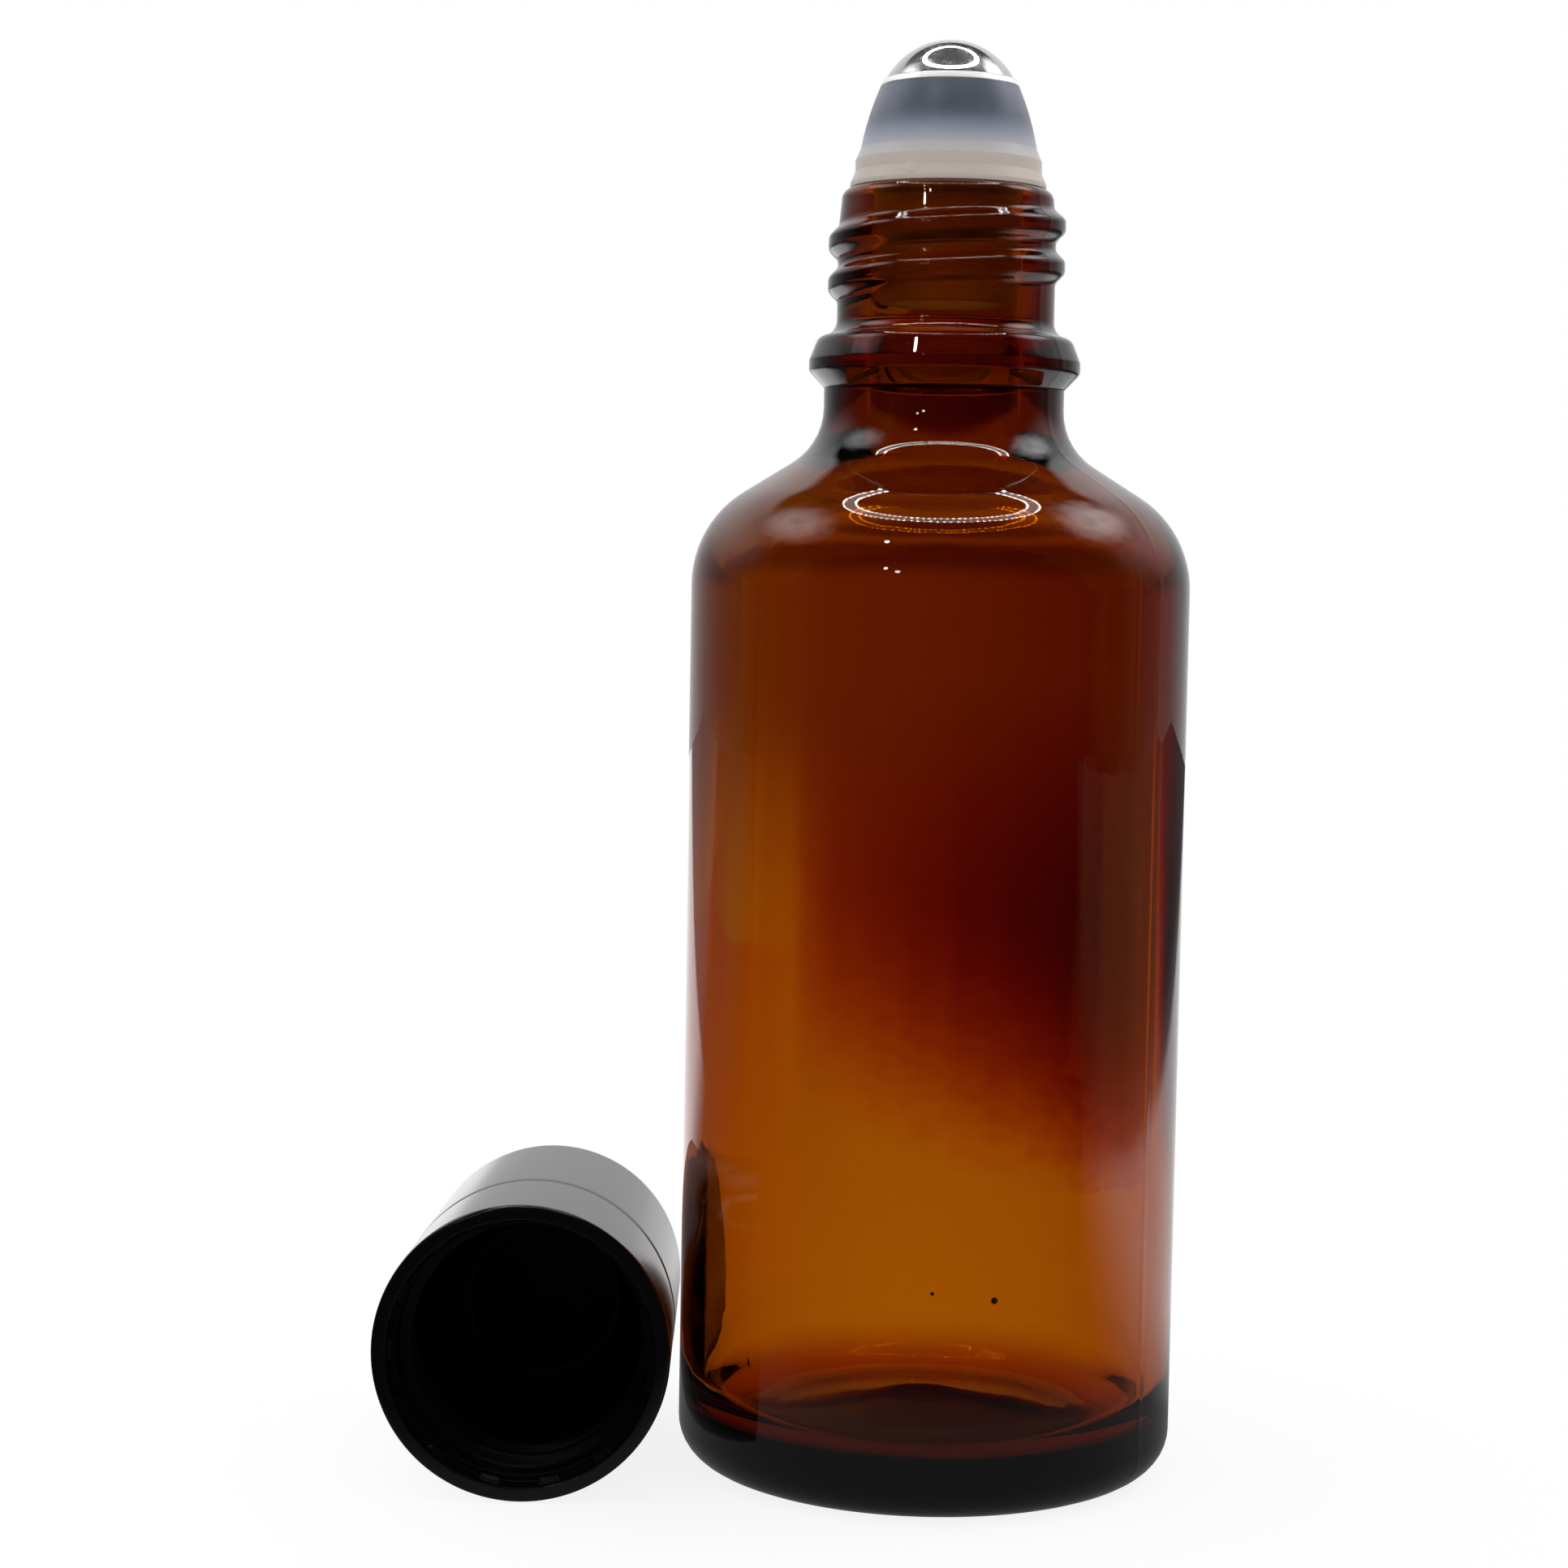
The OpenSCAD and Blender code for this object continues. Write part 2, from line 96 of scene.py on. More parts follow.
def faded(tree, *parts):
    """The product of its parts, which are nodes, sockets, numbers or soft fades.

    A fade is (value, low, high) and goes from 0 to 1 while the value goes from low to high.
    As (value, low, high, first, last) it goes from first to last.
    """
    total = None
    for part in parts:
        if isinstance(part, tuple):
            value, low, high, first, last = part if len(part) == 5 else (*part, 0.0, 1.0)
            part = add(tree, "ShaderNodeMapRange", {
                "Value": value, "From Min": low, "From Max": high, "To Min": first, "To Max": last,
            }, interpolation_type="SMOOTHSTEP")
        if total is None:
            total = part
        else:
            total = add(tree, "ShaderNodeMath", {0: total, 1: part}, operation="MULTIPLY")
    return total


def new_material(name):
    """An empty material, its node tree and its output node."""
    made = bpy.data.materials.new(name)
    made.use_nodes = True
    made.node_tree.nodes.clear()
    print("material:", name)
    return made, made.node_tree, add(made.node_tree, "ShaderNodeOutputMaterial")


# %% [markdown]
# ## Outlines and the lathe
#
# Glass, fitment and cap are all turned shapes, so each is one outline swept round an axis. Blender's
# Screw modifier could sweep it, but a thread, a mould seam and small lugs have to grow out of the same
# skin, because a second mesh stuck into clear glass would show as a dark edge. So the sweep is done
# in code: an outline is a list of corners with radii, and a function may push each point in or out.
# A shader that lets light through has to know which side is the inside. So the lathe asks for the
# volume at the end, and turns the faces over where it comes out negative.

# %% Helpers for outlines
ARC_STEP = math.radians(9)
ON_AXIS_R = 1e-6


def rounded(corners, step):
    """Points along a line through corners (r, z, radius), with an arc at each one and steps between."""
    places = [Vector(c[:2]) for c in corners]
    path = []
    for i, (r, z, radius) in enumerate(corners):
        here = places[i]
        if i in (0, len(corners) - 1) or radius == 0:
            path.append([here])
            continue
        back = (places[i - 1] - here).normalized()
        on = (places[i + 1] - here).normalized()
        opening = math.acos(max(-1, min(1, back.dot(on))))
        reach = radius / math.tan(opening / 2)
        centre = here + (back + on).normalized() * (radius / math.sin(opening / 2))
        start = here + back * reach - centre
        turn = math.pi - opening
        side = 1 if start.cross(here + on * reach - centre) > 0 else -1
        count = max(3, math.ceil(turn / ARC_STEP), math.ceil(turn * radius / step))
        path.append([
            centre + Matrix.Rotation(side * turn * k / count, 2) @ start for k in range(count + 1)
        ])
    points = []
    for arc, following in zip(path, path[1:] + [[]]):
        points += arc
        if following:
            gap = following[0] - arc[-1]
            count = max(1, round(gap.length / step))
            points += [arc[-1] + gap * k / count for k in range(1, count)]
    return [(p.x, p.y) for p in points]


def smooth(share):
    """A soft step from 0 to 1."""
    share = max(0.0, min(1.0, share))
    return share * share * share * (share * (share * 6 - 15) + 10)


def apart(a, b):
    """The angle between two directions round the axis, in degrees."""
    return abs((a - b + 180) % 360 - 180)


def evenly(count):
    """Angles round the axis, in degrees."""
    return [360 * k / count for k in range(count)]


def in_scene(name, data):
    """An object in the scene that holds a mesh, a lamp or a camera."""
    made = bpy.data.objects.new(name, data)
    bpy.context.scene.collection.objects.link(made)
    print("in the scene:", name)
    return made


def object_from(name, skin):
    """An object in the scene from the points and faces of a bmesh."""
    mesh = bpy.data.meshes.new(name)
    skin.to_mesh(mesh)
    skin.free()
    return in_scene(name, mesh)


def lathe(name, points, angles, shape=None):
    """Sweeps (r, z) points in millimetres round the axis. shape gives a point's radius at an angle."""
    skin = bmesh.new()
    rings = []
    for row, (r, z) in enumerate(points):
        if r < ON_AXIS_R:
            rings.append([skin.verts.new((0, 0, z * MM))] * len(angles))
            continue
        ring = []
        for a in angles:
            radius = shape(row, r, z, a) if shape else r
            turned = math.radians(a)
            spot = (radius * math.cos(turned), radius * math.sin(turned), z)
            ring.append(skin.verts.new([v * MM for v in spot]))
        rings.append(ring)
    closed = points[0][0] > ON_AXIS_R
    pairs = list(zip(rings, rings[1:])) + ([(rings[-1], rings[0])] if closed else [])
    for low, high in pairs:
        for k in range(len(angles)):
            j = (k + 1) % len(angles)
            corners = []
            for v in (low[k], low[j], high[j], high[k]):
                if v not in corners:
                    corners.append(v)
            skin.faces.new(corners).smooth = True
    bmesh.ops.recalc_face_normals(skin, faces=skin.faces)
    if skin.calc_volume(signed=True) < 0:
        bmesh.ops.reverse_faces(skin, faces=skin.faces)
    volume = skin.calc_volume(signed=True) / (10 * MM) ** 3
    made = object_from(name, skin)
    print(name, len(made.data.polygons), "faces", round(volume, 2), "cm3")
    return made


# %% [markdown]
# ## A screw thread as a bump on a wall
#
# A moulded thread is one ridge that climbs as it goes round, with soft flanks because hot glass
# doesn't fill sharp corners. At any place on the wall only the distance to the ridge's middle line
# matters, so a short function gives the ridge's height there, fading in and out at its two ends.

# %% The thread's height at a place
THREAD_PITCH = 3.0
THREAD_RUNOUT = 50


def ridge(angle, z, low_z, low_angle, turns, width, crest):
    """The share, 0 to 1, of a thread's full height at an angle and height on its wall."""
    best = 0.0
    along = (angle - low_angle) % 360
    while along <= 360 * turns:
        away = abs(z - low_z - THREAD_PITCH * along / 360)
        grown = min(along, 360 * turns - along) / THREAD_RUNOUT
        best = max(best, smooth(grown) * smooth((width / 2 - away) / (width / 2 - crest / 2)))
        along += 360
    return best


# %% [markdown]
# ## The glass bottle
#
# The bottle is amber soda-lime glass, blown in a mould of two halves. That leaves a fine seam down
# both sides, a soft heel, and a wall that is smooth outside, where the iron touched it, and slightly
# wavy inside, where only air did. Skin and inside are one closed mesh, so that light bends into the
# wall and out of it again as in the real one. The waves are real displacement and not a bump
# texture, because they bend what is seen through the glass. All sizes are in millimetres.

# %% Build the glass bottle
glass_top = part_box("glass_bottle")[1]
BODY_R = glass_top.x / MM
GLASS_H = glass_top.z / MM
GLASS_WALL = 1.9
FLOOR_T = 3.6
HEEL_ROUND = 3.0
FLOOR_ROUND = 3.6
FLOOR_DOME_R = 11.0
FLOOR_DOME_H = 1.3
FLOOR_DOME_ROUND = 6
FLOOR_DOME_TOP_ROUND = 9
PUSH_UP_H = 0.8
PUSH_UP_R = BODY_R - HEEL_ROUND - 2.4
PUSH_UP_STEPS = 12
SHOULDER_ROUND = 8.0
SHOULDER_ROUND_INSIDE = 6.1
SHOULDER_SLOPE = math.tan(math.radians(32))
# Heights at which the shoulder's outer and inner slopes would meet the axis
SLOPE_TOP = GLASS_H - 13.13
SLOPE_TOP_INSIDE = GLASS_H - 15.371
NECK_R = 8.8
NECK_ROUND = 4.8
NECK_ROUND_INSIDE = 5.5
BORE_R = 5.55
BORE_EDGE = 0.4
FINISH_R = 7.95
RIM_R = 7.75
RIM_ROUND = 0.85
BEAD_R = 9.93
BEAD_Z = GLASS_H - 12.8
THREAD_R = 8.65
THREAD_LOW_Z = GLASS_H - 7.65
THREAD_LOW_ANGLE = 108
THREAD_TURNS = 1.9
THREAD_W = 2.9
THREAD_CREST = 0.4
THREAD_ZONE = (BEAD_Z + 3, GLASS_H - 0.5)
SEAM_ANGLES = (-32, 148)
SEAM_W = 0.5
SEAM_H = 0.02
SEAM_ZONE = (HEEL_ROUND / 2, GLASS_H - 0.3)
# Columns of points that lie close together on both sides of a seam, in degrees from it
SEAM_COLUMNS = (-1.6, -0.9, -0.45, -0.2, 0.2, 0.45, 0.9, 1.6)
GLASS_COLUMNS = 288
INNER_WAVE = 0.06
INNER_WAVE_LENGTH = 7.0
# The waves run up the wall, so they are long in height, with smaller and finer ones on them
WAVE_RISE_SHARE = 0.12
FINE_WAVE_SHARE = 0.3
FINE_WAVE_TIMES = 3.1
# The bore and the floor have no waves
WAVE_BORE_GAP = 1
WAVE_FLOOR_GAP = 0.5

# Each corner of an outline is its radius, its height and its rounding
push_up_shares = [s / PUSH_UP_STEPS for s in range(PUSH_UP_STEPS)]
foot = [(PUSH_UP_R * share, PUSH_UP_H * (1 - share ** 2)) for share in push_up_shares]
body_line = rounded([
    (PUSH_UP_R, 0, 0), (BODY_R, 0, HEEL_ROUND),
    (BODY_R, SLOPE_TOP - BODY_R * SHOULDER_SLOPE, SHOULDER_ROUND),
    (NECK_R, SLOPE_TOP - NECK_R * SHOULDER_SLOPE, NECK_ROUND), (NECK_R, BEAD_Z - 1.95, 0),
], step=0.7)
neck_line = rounded([
    (NECK_R, BEAD_Z - 1.9, 0), (NECK_R, BEAD_Z - 1.7, 0.2), (BEAD_R, BEAD_Z - 0.5, 0.5),
    (BEAD_R, BEAD_Z + 0.3, 0.3), (BEAD_R - 0.66, BEAD_Z + 1.98, 0.8),
    (FINISH_R, BEAD_Z + 2.28, 1.15), (FINISH_R, GLASS_H - 3, 0), (RIM_R, GLASS_H - 0.95, 0),
    (RIM_R - 0.02, GLASS_H, RIM_ROUND), (BORE_R, GLASS_H, BORE_EDGE), (BORE_R, GLASS_H - 1, 0),
], step=0.14)
INSIDE_R = BODY_R - GLASS_WALL
inside_line = rounded([
    (BORE_R, GLASS_H - 1.5, 0), (BORE_R, SLOPE_TOP_INSIDE - BORE_R * SHOULDER_SLOPE, NECK_ROUND_INSIDE),
    (INSIDE_R, SLOPE_TOP_INSIDE - INSIDE_R * SHOULDER_SLOPE, SHOULDER_ROUND_INSIDE),
    (INSIDE_R, FLOOR_T, FLOOR_ROUND), (FLOOR_DOME_R, FLOOR_T, FLOOR_DOME_ROUND),
    (FLOOR_DOME_R / 4, FLOOR_T + FLOOR_DOME_H, FLOOR_DOME_TOP_ROUND), (0, FLOOR_T + FLOOR_DOME_H, 0),
], step=0.8)
glass_points = foot + body_line + neck_line + inside_line
first_inside = len(foot) + len(body_line) + next(
    i for i, p in enumerate(neck_line) if p[0] < BORE_R + 0.1
)
glass_angles = sorted(
    evenly(GLASS_COLUMNS) + [(s + d) % 360 for s in SEAM_ANGLES for d in SEAM_COLUMNS]
)


def glass_radius(row, r, z, angle):
    """The glass with its thread and seams outside, and its waves inside."""
    turned = math.radians(angle)
    if row >= first_inside:
        if r < BORE_R + WAVE_BORE_GAP or z < FLOOR_T + WAVE_FLOOR_GAP:
            return r
        spot = Vector((r * math.cos(turned), r * math.sin(turned), z * WAVE_RISE_SHARE)) / INNER_WAVE_LENGTH
        fine = FINE_WAVE_SHARE * INNER_WAVE * noise.noise(spot * FINE_WAVE_TIMES)
        return r + INNER_WAVE * noise.noise(spot) + fine
    grown = r
    if THREAD_ZONE[0] < z < THREAD_ZONE[1]:
        share = ridge(angle, z, THREAD_LOW_Z, THREAD_LOW_ANGLE, THREAD_TURNS, THREAD_W, THREAD_CREST)
        grown = max(r, r + (THREAD_R - r) * share)
    if SEAM_ZONE[0] < z < SEAM_ZONE[1]:
        off = min(apart(angle, s) for s in SEAM_ANGLES) * math.radians(1) * r
        grown += SEAM_H * smooth(1 - off / SEAM_W)
    return grown


bottle = lathe("bottle_glass", glass_points, glass_angles, glass_radius)
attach(bottle, "bottle")
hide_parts("glass_bottle")

# %% [markdown]
# ## The ball housing
#
# Natural polyethylene, injection moulded in one piece: a plug with two sealing rings sits in the
# neck, a flange rests on the rim, and a cup closes over the ball with a thin snap lip. The outline
# is a closed ring, because the moulding is open through its middle. The gate mark, a small round
# nub where the plastic flowed in, is pushed out of the band in the same skin.

# %% Build the ball housing
ball_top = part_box("roller_ball")[1]
BALL_R = ball_top.x / MM
BALL_Z = ball_top.z / MM - BALL_R
SEAT_R = BALL_R + 0.05
LIP_Z = BALL_Z + 2.35
LIP_INNER_R = math.sqrt(SEAT_R ** 2 - (LIP_Z - BALL_Z) ** 2)
LIP_OUTER_R = LIP_INNER_R + 0.3
LIP_ROUND = 0.9
PLUG_LOW_Z = GLASS_H - 8.4
PLUG_R = BORE_R - 0.12
PLUG_WALL = 1.1
PLUG_INNER_R = PLUG_R - PLUG_WALL
FEED_R = 4.0
FEED_Z = BALL_Z - math.sqrt(SEAT_R ** 2 - FEED_R ** 2)
FEED_WALL = 1.1
FLANGE_R = 7.15
FLANGE_T = 0.35
FLANGE_GAP = 0.01
BAND_R = 6.8
BAND_Z = GLASS_H + 1.15
CUP_Z = BAND_Z + 1.7
CUP_R = 6.425
CUP_BULGE = 0.28
CUP_ROUND = 20
SEAL_Z = [PLUG_LOW_Z + 1.6, PLUG_LOW_Z + 4.6]
SEAL_HALF_W = 0.4
SEAL_GAP = 0.01
# The seat follows the ball from this angle over its middle down, in degrees
SEAT_TOP_ANGLE = 22
SEAT_STEP = 3
SEAT_STEPS = 21
GATE_ANGLE = -90 - 22
GATE_Z = BAND_Z - 0.25
GATE_R = 0.47
GATE_H = 0.08
GATE_EDGE = 0.12
SLOT_COUNT = 8
SLOT_HALF_ANGLE = 4.6
SLOT_EDGE_ANGLE = 0.8
SLOT_D = 0.25
SLOT_RUNOUT = 0.4
HOUSING_COLUMNS = 320

seals = []
for z in SEAL_Z:
    seals += [(PLUG_R, z - SEAL_HALF_W, 0), (BORE_R - SEAL_GAP, z, 0.1), (PLUG_R, z + SEAL_HALF_W, 0)]
outside = rounded([
    (PLUG_INNER_R, PLUG_LOW_Z, 0), (PLUG_R - 0.5, PLUG_LOW_Z, 0.2), (PLUG_R, PLUG_LOW_Z + 0.8, 0.3),
    *seals, (PLUG_R, GLASS_H + FLANGE_GAP, 0), (FLANGE_R, GLASS_H + FLANGE_GAP, 0.08),
    (FLANGE_R, GLASS_H + FLANGE_T, 0.12), (BAND_R, BAND_Z, 0.15), (BAND_R, CUP_Z - 0.85, 0.12),
    (CUP_R, CUP_Z, 0.3), ((CUP_R + LIP_OUTER_R) / 2 + CUP_BULGE, (CUP_Z + LIP_Z) / 2, CUP_ROUND),
    (LIP_OUTER_R, LIP_Z - 0.45, LIP_ROUND), (LIP_INNER_R + 0.02, LIP_Z, 0.05),
    (LIP_INNER_R + 0.06, LIP_Z - 0.2, 0),
], step=0.12)
seat_angles = [math.radians(SEAT_TOP_ANGLE - SEAT_STEP * k) for k in range(SEAT_STEPS)]
seat = [
    (SEAT_R * math.cos(a), BALL_Z + SEAT_R * math.sin(a))
    for a in seat_angles if SEAT_R * math.cos(a) > FEED_R
]
under = rounded([
    (FEED_R, FEED_Z, 0), (FEED_R, FEED_Z - FEED_WALL, 0.15), (PLUG_INNER_R, FEED_Z - FEED_WALL, 0.15),
    (PLUG_INNER_R, PLUG_LOW_Z + 0.3, 0),
], step=0.5)
housing_points = outside + seat + under
SEAT_ROWS = range(len(outside), len(outside) + len(seat))


def housing_radius(row, r, z, angle):
    """The housing with its gate mark outside and its feed slots in the seat."""
    if row in SEAT_ROWS:
        off = min(apart(angle, (i + 0.5) * 360 / SLOT_COUNT) for i in range(SLOT_COUNT))
        return r + SLOT_D * (
            smooth((SLOT_HALF_ANGLE - off) / SLOT_EDGE_ANGLE) * smooth((BALL_Z - z) / SLOT_RUNOUT)
        )
    if r < BAND_R - 0.3:
        return r
    off = math.hypot(apart(angle, GATE_ANGLE) * math.radians(1) * BAND_R, z - GATE_Z)
    return r + GATE_H * smooth((GATE_R - off) / GATE_EDGE)


housing = lathe("ball_housing", housing_points, evenly(HOUSING_COLUMNS), housing_radius)
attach(housing, "bottle")
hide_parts("roller_housing")

# %% [markdown]
# ## The steel ball
#
# A bearing ball, ground and lapped to a mirror. It is a true sphere on the real object too, so it is
# turned from a half circle with enough steps that its reflections stay smooth.

# %% Build the ball
BALL_STEPS = 96
half_circle = [
    (BALL_R * math.sin(math.pi * k / BALL_STEPS), -BALL_R * math.cos(math.pi * k / BALL_STEPS))
    for k in range(BALL_STEPS + 1)
]
half_circle[0] = (0, -BALL_R)
half_circle[-1] = (0, BALL_R)
ball = lathe("steel_ball", [(r, z + BALL_Z) for r, z in half_circle], evenly(2 * BALL_STEPS))
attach(ball, "ball")
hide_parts("roller_ball")

# %% [markdown]
# ## The screw cap
#
# Black polypropylene, injection moulded, with a gloss that the polished mould gave it. Its outline
# is turned upright, with the inner thread and the fourteen small lugs of the mouth pushed out of the
# same skin, and the finished cap is then laid on its side beside the bottle. The faces of its inside
# are marked before that, because they get a duller finish.

# %% Build the screw cap
CAP_MOUTH_R = 10.6
CAP_END_R = 10.05
CAP_LEN = 29.5
CAP_TAPER = math.atan((CAP_MOUTH_R - CAP_END_R) / CAP_LEN)
CAP_END_ROUND = 1.2
CAP_EDGE_ROUND = 0.3
CAP_END_T = 1.9
CAP_INNER_Z = CAP_LEN - CAP_END_T
CAP_RECESS_R = 9.55
CAP_RECESS_H = 1.7
CAP_BORE_R = THREAD_R + 0.4
CAP_BORE_H = 11.0
CAP_UPPER_R = CAP_BORE_R - 0.35
CAP_THREAD_H = 0.85
CAP_THREAD_Z = 3.4
CAP_THREAD_TURNS = 1.6
CAP_THREAD_W = 1.5
CAP_THREAD_CREST = 0.45
CAP_GROOVE_Z = 11.2
CAP_GROOVE_W = 1.0
CAP_GROOVE_D = 0.07
CAP_GROOVE_ROUND = 0.8
SEAL_RING_R = LIP_OUTER_R + 0.3
SEAL_RING_T = 0.7
SEAL_RING_H = 9.4
SEAL_RING_ROUND = 0.15
LUG_COUNT = 14
LUG_LEN = 1.75
LUG_W = 0.7
LUG_H = 0.45
LUG_Z = 0.9
LUG_EDGE = 0.14
CAP_FORWARD = 14.5
CAP_TURN = 2.2
CAP_SIDE_GAP = 0.35
CAP_FLOOR_GAP = 0.1
CAP_SKIN_GAP = 0.006
CAP_INSIDE_MARGIN = 0.05
CAP_COLUMNS = 336


def cap_r(z):
    """The cap's outer radius at a height over its mouth."""
    return CAP_MOUTH_R - CAP_SKIN_GAP - z * math.tan(CAP_TAPER)


cap_outside = rounded([
    (0, CAP_LEN, 0), (cap_r(CAP_LEN), CAP_LEN, CAP_END_ROUND),
    (cap_r(CAP_GROOVE_Z), CAP_GROOVE_Z + CAP_GROOVE_W / 2, CAP_GROOVE_ROUND),
    (cap_r(CAP_GROOVE_Z) - CAP_GROOVE_D, CAP_GROOVE_Z, CAP_GROOVE_ROUND),
    (cap_r(CAP_GROOVE_Z), CAP_GROOVE_Z - CAP_GROOVE_W / 2, CAP_GROOVE_ROUND),
    (cap_r(0), 0, CAP_EDGE_ROUND), (CAP_RECESS_R, 0, 0.12), (CAP_RECESS_R, 0.3, 0),
], step=0.6)
cap_mouth = rounded([
    (CAP_RECESS_R, 0.35, 0), (CAP_RECESS_R, CAP_RECESS_H, 0.1), (CAP_BORE_R, CAP_RECESS_H, 0.12),
    (CAP_BORE_R, CAP_BORE_H, 0.1), (CAP_UPPER_R, CAP_BORE_H + 0.6, 0.1), (CAP_UPPER_R, CAP_BORE_H + 1, 0),
], step=0.12)
cap_inside = rounded([
    (CAP_UPPER_R, CAP_BORE_H + 1.2, 0), (CAP_UPPER_R, CAP_INNER_Z, 0.8),
    (SEAL_RING_R + SEAL_RING_T, CAP_INNER_Z, SEAL_RING_ROUND),
    (SEAL_RING_R + SEAL_RING_T, CAP_INNER_Z - SEAL_RING_H, SEAL_RING_ROUND),
    (SEAL_RING_R, CAP_INNER_Z - SEAL_RING_H, SEAL_RING_ROUND),
    (SEAL_RING_R, CAP_INNER_Z, SEAL_RING_ROUND), (0, CAP_INNER_Z, 0),
], step=0.6)
MOUTH_ROWS = range(len(cap_outside), len(cap_outside) + len(cap_mouth))


def cap_radius(row, r, z, angle):
    """The cap with its lugs in the mouth's recess and its thread in the bore."""
    if row not in MOUTH_ROWS:
        return r
    if z < CAP_RECESS_H - 0.1:
        off = min(apart(angle, i * 360 / LUG_COUNT) for i in range(LUG_COUNT))
        off *= math.radians(1) * CAP_RECESS_R
        share = smooth((LUG_LEN / 2 - off) / LUG_EDGE) * smooth((LUG_W / 2 - abs(z - LUG_Z)) / LUG_EDGE)
        return r - LUG_H * share
    if r > CAP_BORE_R + 0.01:
        return r
    return r - CAP_THREAD_H * ridge(
        angle, z, CAP_THREAD_Z, 0, CAP_THREAD_TURNS, CAP_THREAD_W, CAP_THREAD_CREST
    )


cap = lathe("cap_moulding", cap_outside + cap_mouth + cap_inside, evenly(CAP_COLUMNS), cap_radius)
for face in cap.data.polygons:
    middle = face.center / MM
    within = middle.xy.length < CAP_RECESS_R + CAP_INSIDE_MARGIN
    if within and middle.z < CAP_INNER_Z + CAP_INSIDE_MARGIN:
        face.material_index = 1
cap_axis_x = -(BODY_R + CAP_SIDE_GAP + cap_r(CAP_FORWARD) + CAP_SKIN_GAP) * MM
cap_axis_z = (CAP_FLOOR_GAP + CAP_MOUTH_R * math.cos(CAP_TAPER)) * MM
lying = (
    Matrix.Rotation(math.radians(CAP_TURN), 4, "Z")
    @ Matrix.Translation((cap_axis_x, -CAP_FORWARD * MM, cap_axis_z))
    @ Matrix.Rotation(math.radians(-90) - CAP_TAPER, 4, "X")
)
cap.data.transform(lying)
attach(cap, "cap")
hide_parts("screw_cap")

# %% [markdown]
# ## Amber glass
#
# Soda-lime glass, coloured through with iron and sulphur and fire-polished by its own heat, so the
# surface is as smooth as a liquid's. IOR 1.52 bends the light. The colour isn't paint: it deepens
# with every millimetre that the light goes through, so it belongs to the inside as an absorption.
# The two walls let through about this much light: red 41%, green 12%, blue almost none. Two specks
# of dirt cling to the front. They are too thin to be a shape, so the skin turns to soot there.

# %% Make the amber glass
GLASS_PATH = 2 * GLASS_WALL * MM
GLASS_LETS_THROUGH = (0.41, 0.12, 0.0015)
# The skin's faint unevenness: how wide and how high its ripples are
RIPPLE_SIZE = 2.2 * MM
RIPPLE_H = 0.02 * MM
# Place and radius of each speck in millimetres, and the share of the radius that it covers fully
SPECKS = (((0.5, -18.3, 16.5), 0.17), ((4.8, -17.66, 16.0), 0.3))
SPECK_CORE_SHARE = 0.6


def amber_glass():
    made, tree, output = new_material("amber_soda_lime_glass_fire_polished")
    loss = [-math.log(share) / GLASS_PATH for share in GLASS_LETS_THROUGH]
    density = max(loss)
    coords = add(tree, "ShaderNodeTexCoord").outputs["Object"]
    ripple = add(tree, "ShaderNodeTexNoise", {"Vector": coords, "Scale": 1 / RIPPLE_SIZE, "Detail": 2.0})
    bump = add(tree, "ShaderNodeBump", {"Height": ripple, "Strength": 0.25, "Distance": RIPPLE_H})
    skin = add(tree, "ShaderNodeBsdfPrincipled", {
        "Base Color": (1, 1, 1, 1), "Roughness": 0.0, "IOR": 1.52, "Transmission Weight": 1.0,
        "Normal": bump,
    })
    inside = add(tree, "ShaderNodeVolumeAbsorption", {
        "Color": (*[1 - x / density for x in loss], 1), "Density": density,
    })
    soot = add(tree, "ShaderNodeBsdfDiffuse", {"Color": rgba("#1a0d06")})
    covered = 0.0
    for spot, size in SPECKS:
        distance = add(tree, "ShaderNodeVectorMath", {
            0: coords, 1: [v * MM for v in spot],
        }, operation="DISTANCE")
        speck = faded(tree, (distance, size * MM, SPECK_CORE_SHARE * size * MM))
        covered = add(tree, "ShaderNodeMath", {0: covered, 1: speck}, operation="MAXIMUM")
    surface = add(tree, "ShaderNodeMixShader", {"Fac": covered, 1: skin, 2: soot})
    fill(output, {"Surface": surface, "Volume": inside})
    print("amber glass: density", round(density), "per metre")
    return made


bottle.data.materials.append(amber_glass())

# %% [markdown]
# ## Natural polyethylene
#
# Low-density polyethylene without any pigment is milky: light enters, scatters between its crystals
# and leaves somewhere else. A thin wall also lets a blurred image through, which is how the ball
# shows. So the shader mixes a milky skin with rough transmission, and how much of each shows depends
# on the height: the band and the lip are milky, the cup between them shows the ball, and the plug in
# the neck has almost no milk in it, but is just as blurred. Two colours are painted light: the cup's
# blue-grey is painted shade of the dark ball behind it, and the band's beige is a painted reflection
# of the amber glass below.

# %% Make the polyethylene
MILK_IN_CUP = 0.1
MILK_IN_BAND = 0.85
MILK_IN_LIP = 0.75
MILK_IN_PLUG = 0.06
HAZE_IN_CUP = 0.36
HAZE_IN_PLUG = 0.38
# Heights between which one look turns into the next
PLUG_STARTS = (GLASS_H * MM, (GLASS_H - 1) * MM)
# Between these heights the cup's painted blue-grey shade turns into the band's painted beige reflection of
# the glass
BAND_PAINTED_REFLECTION_STARTS = ((CUP_Z + 2) * MM, BAND_Z * MM)
BAND_MILK_STARTS = ((CUP_Z + 2.6) * MM, (BAND_Z + 0.6) * MM)
LIP_TINT_STARTS = ((LIP_Z - 0.7) * MM, (LIP_Z - 0.4) * MM)
LIP_MILK_STARTS = ((LIP_Z - 0.6) * MM, (LIP_Z - 0.2) * MM)
# Real satin grain is about 0.05 mm wide, too fine to show here, so it is drawn coarser
GRAIN_SIZE = 0.35 * MM
GRAIN_H = 0.02 * MM


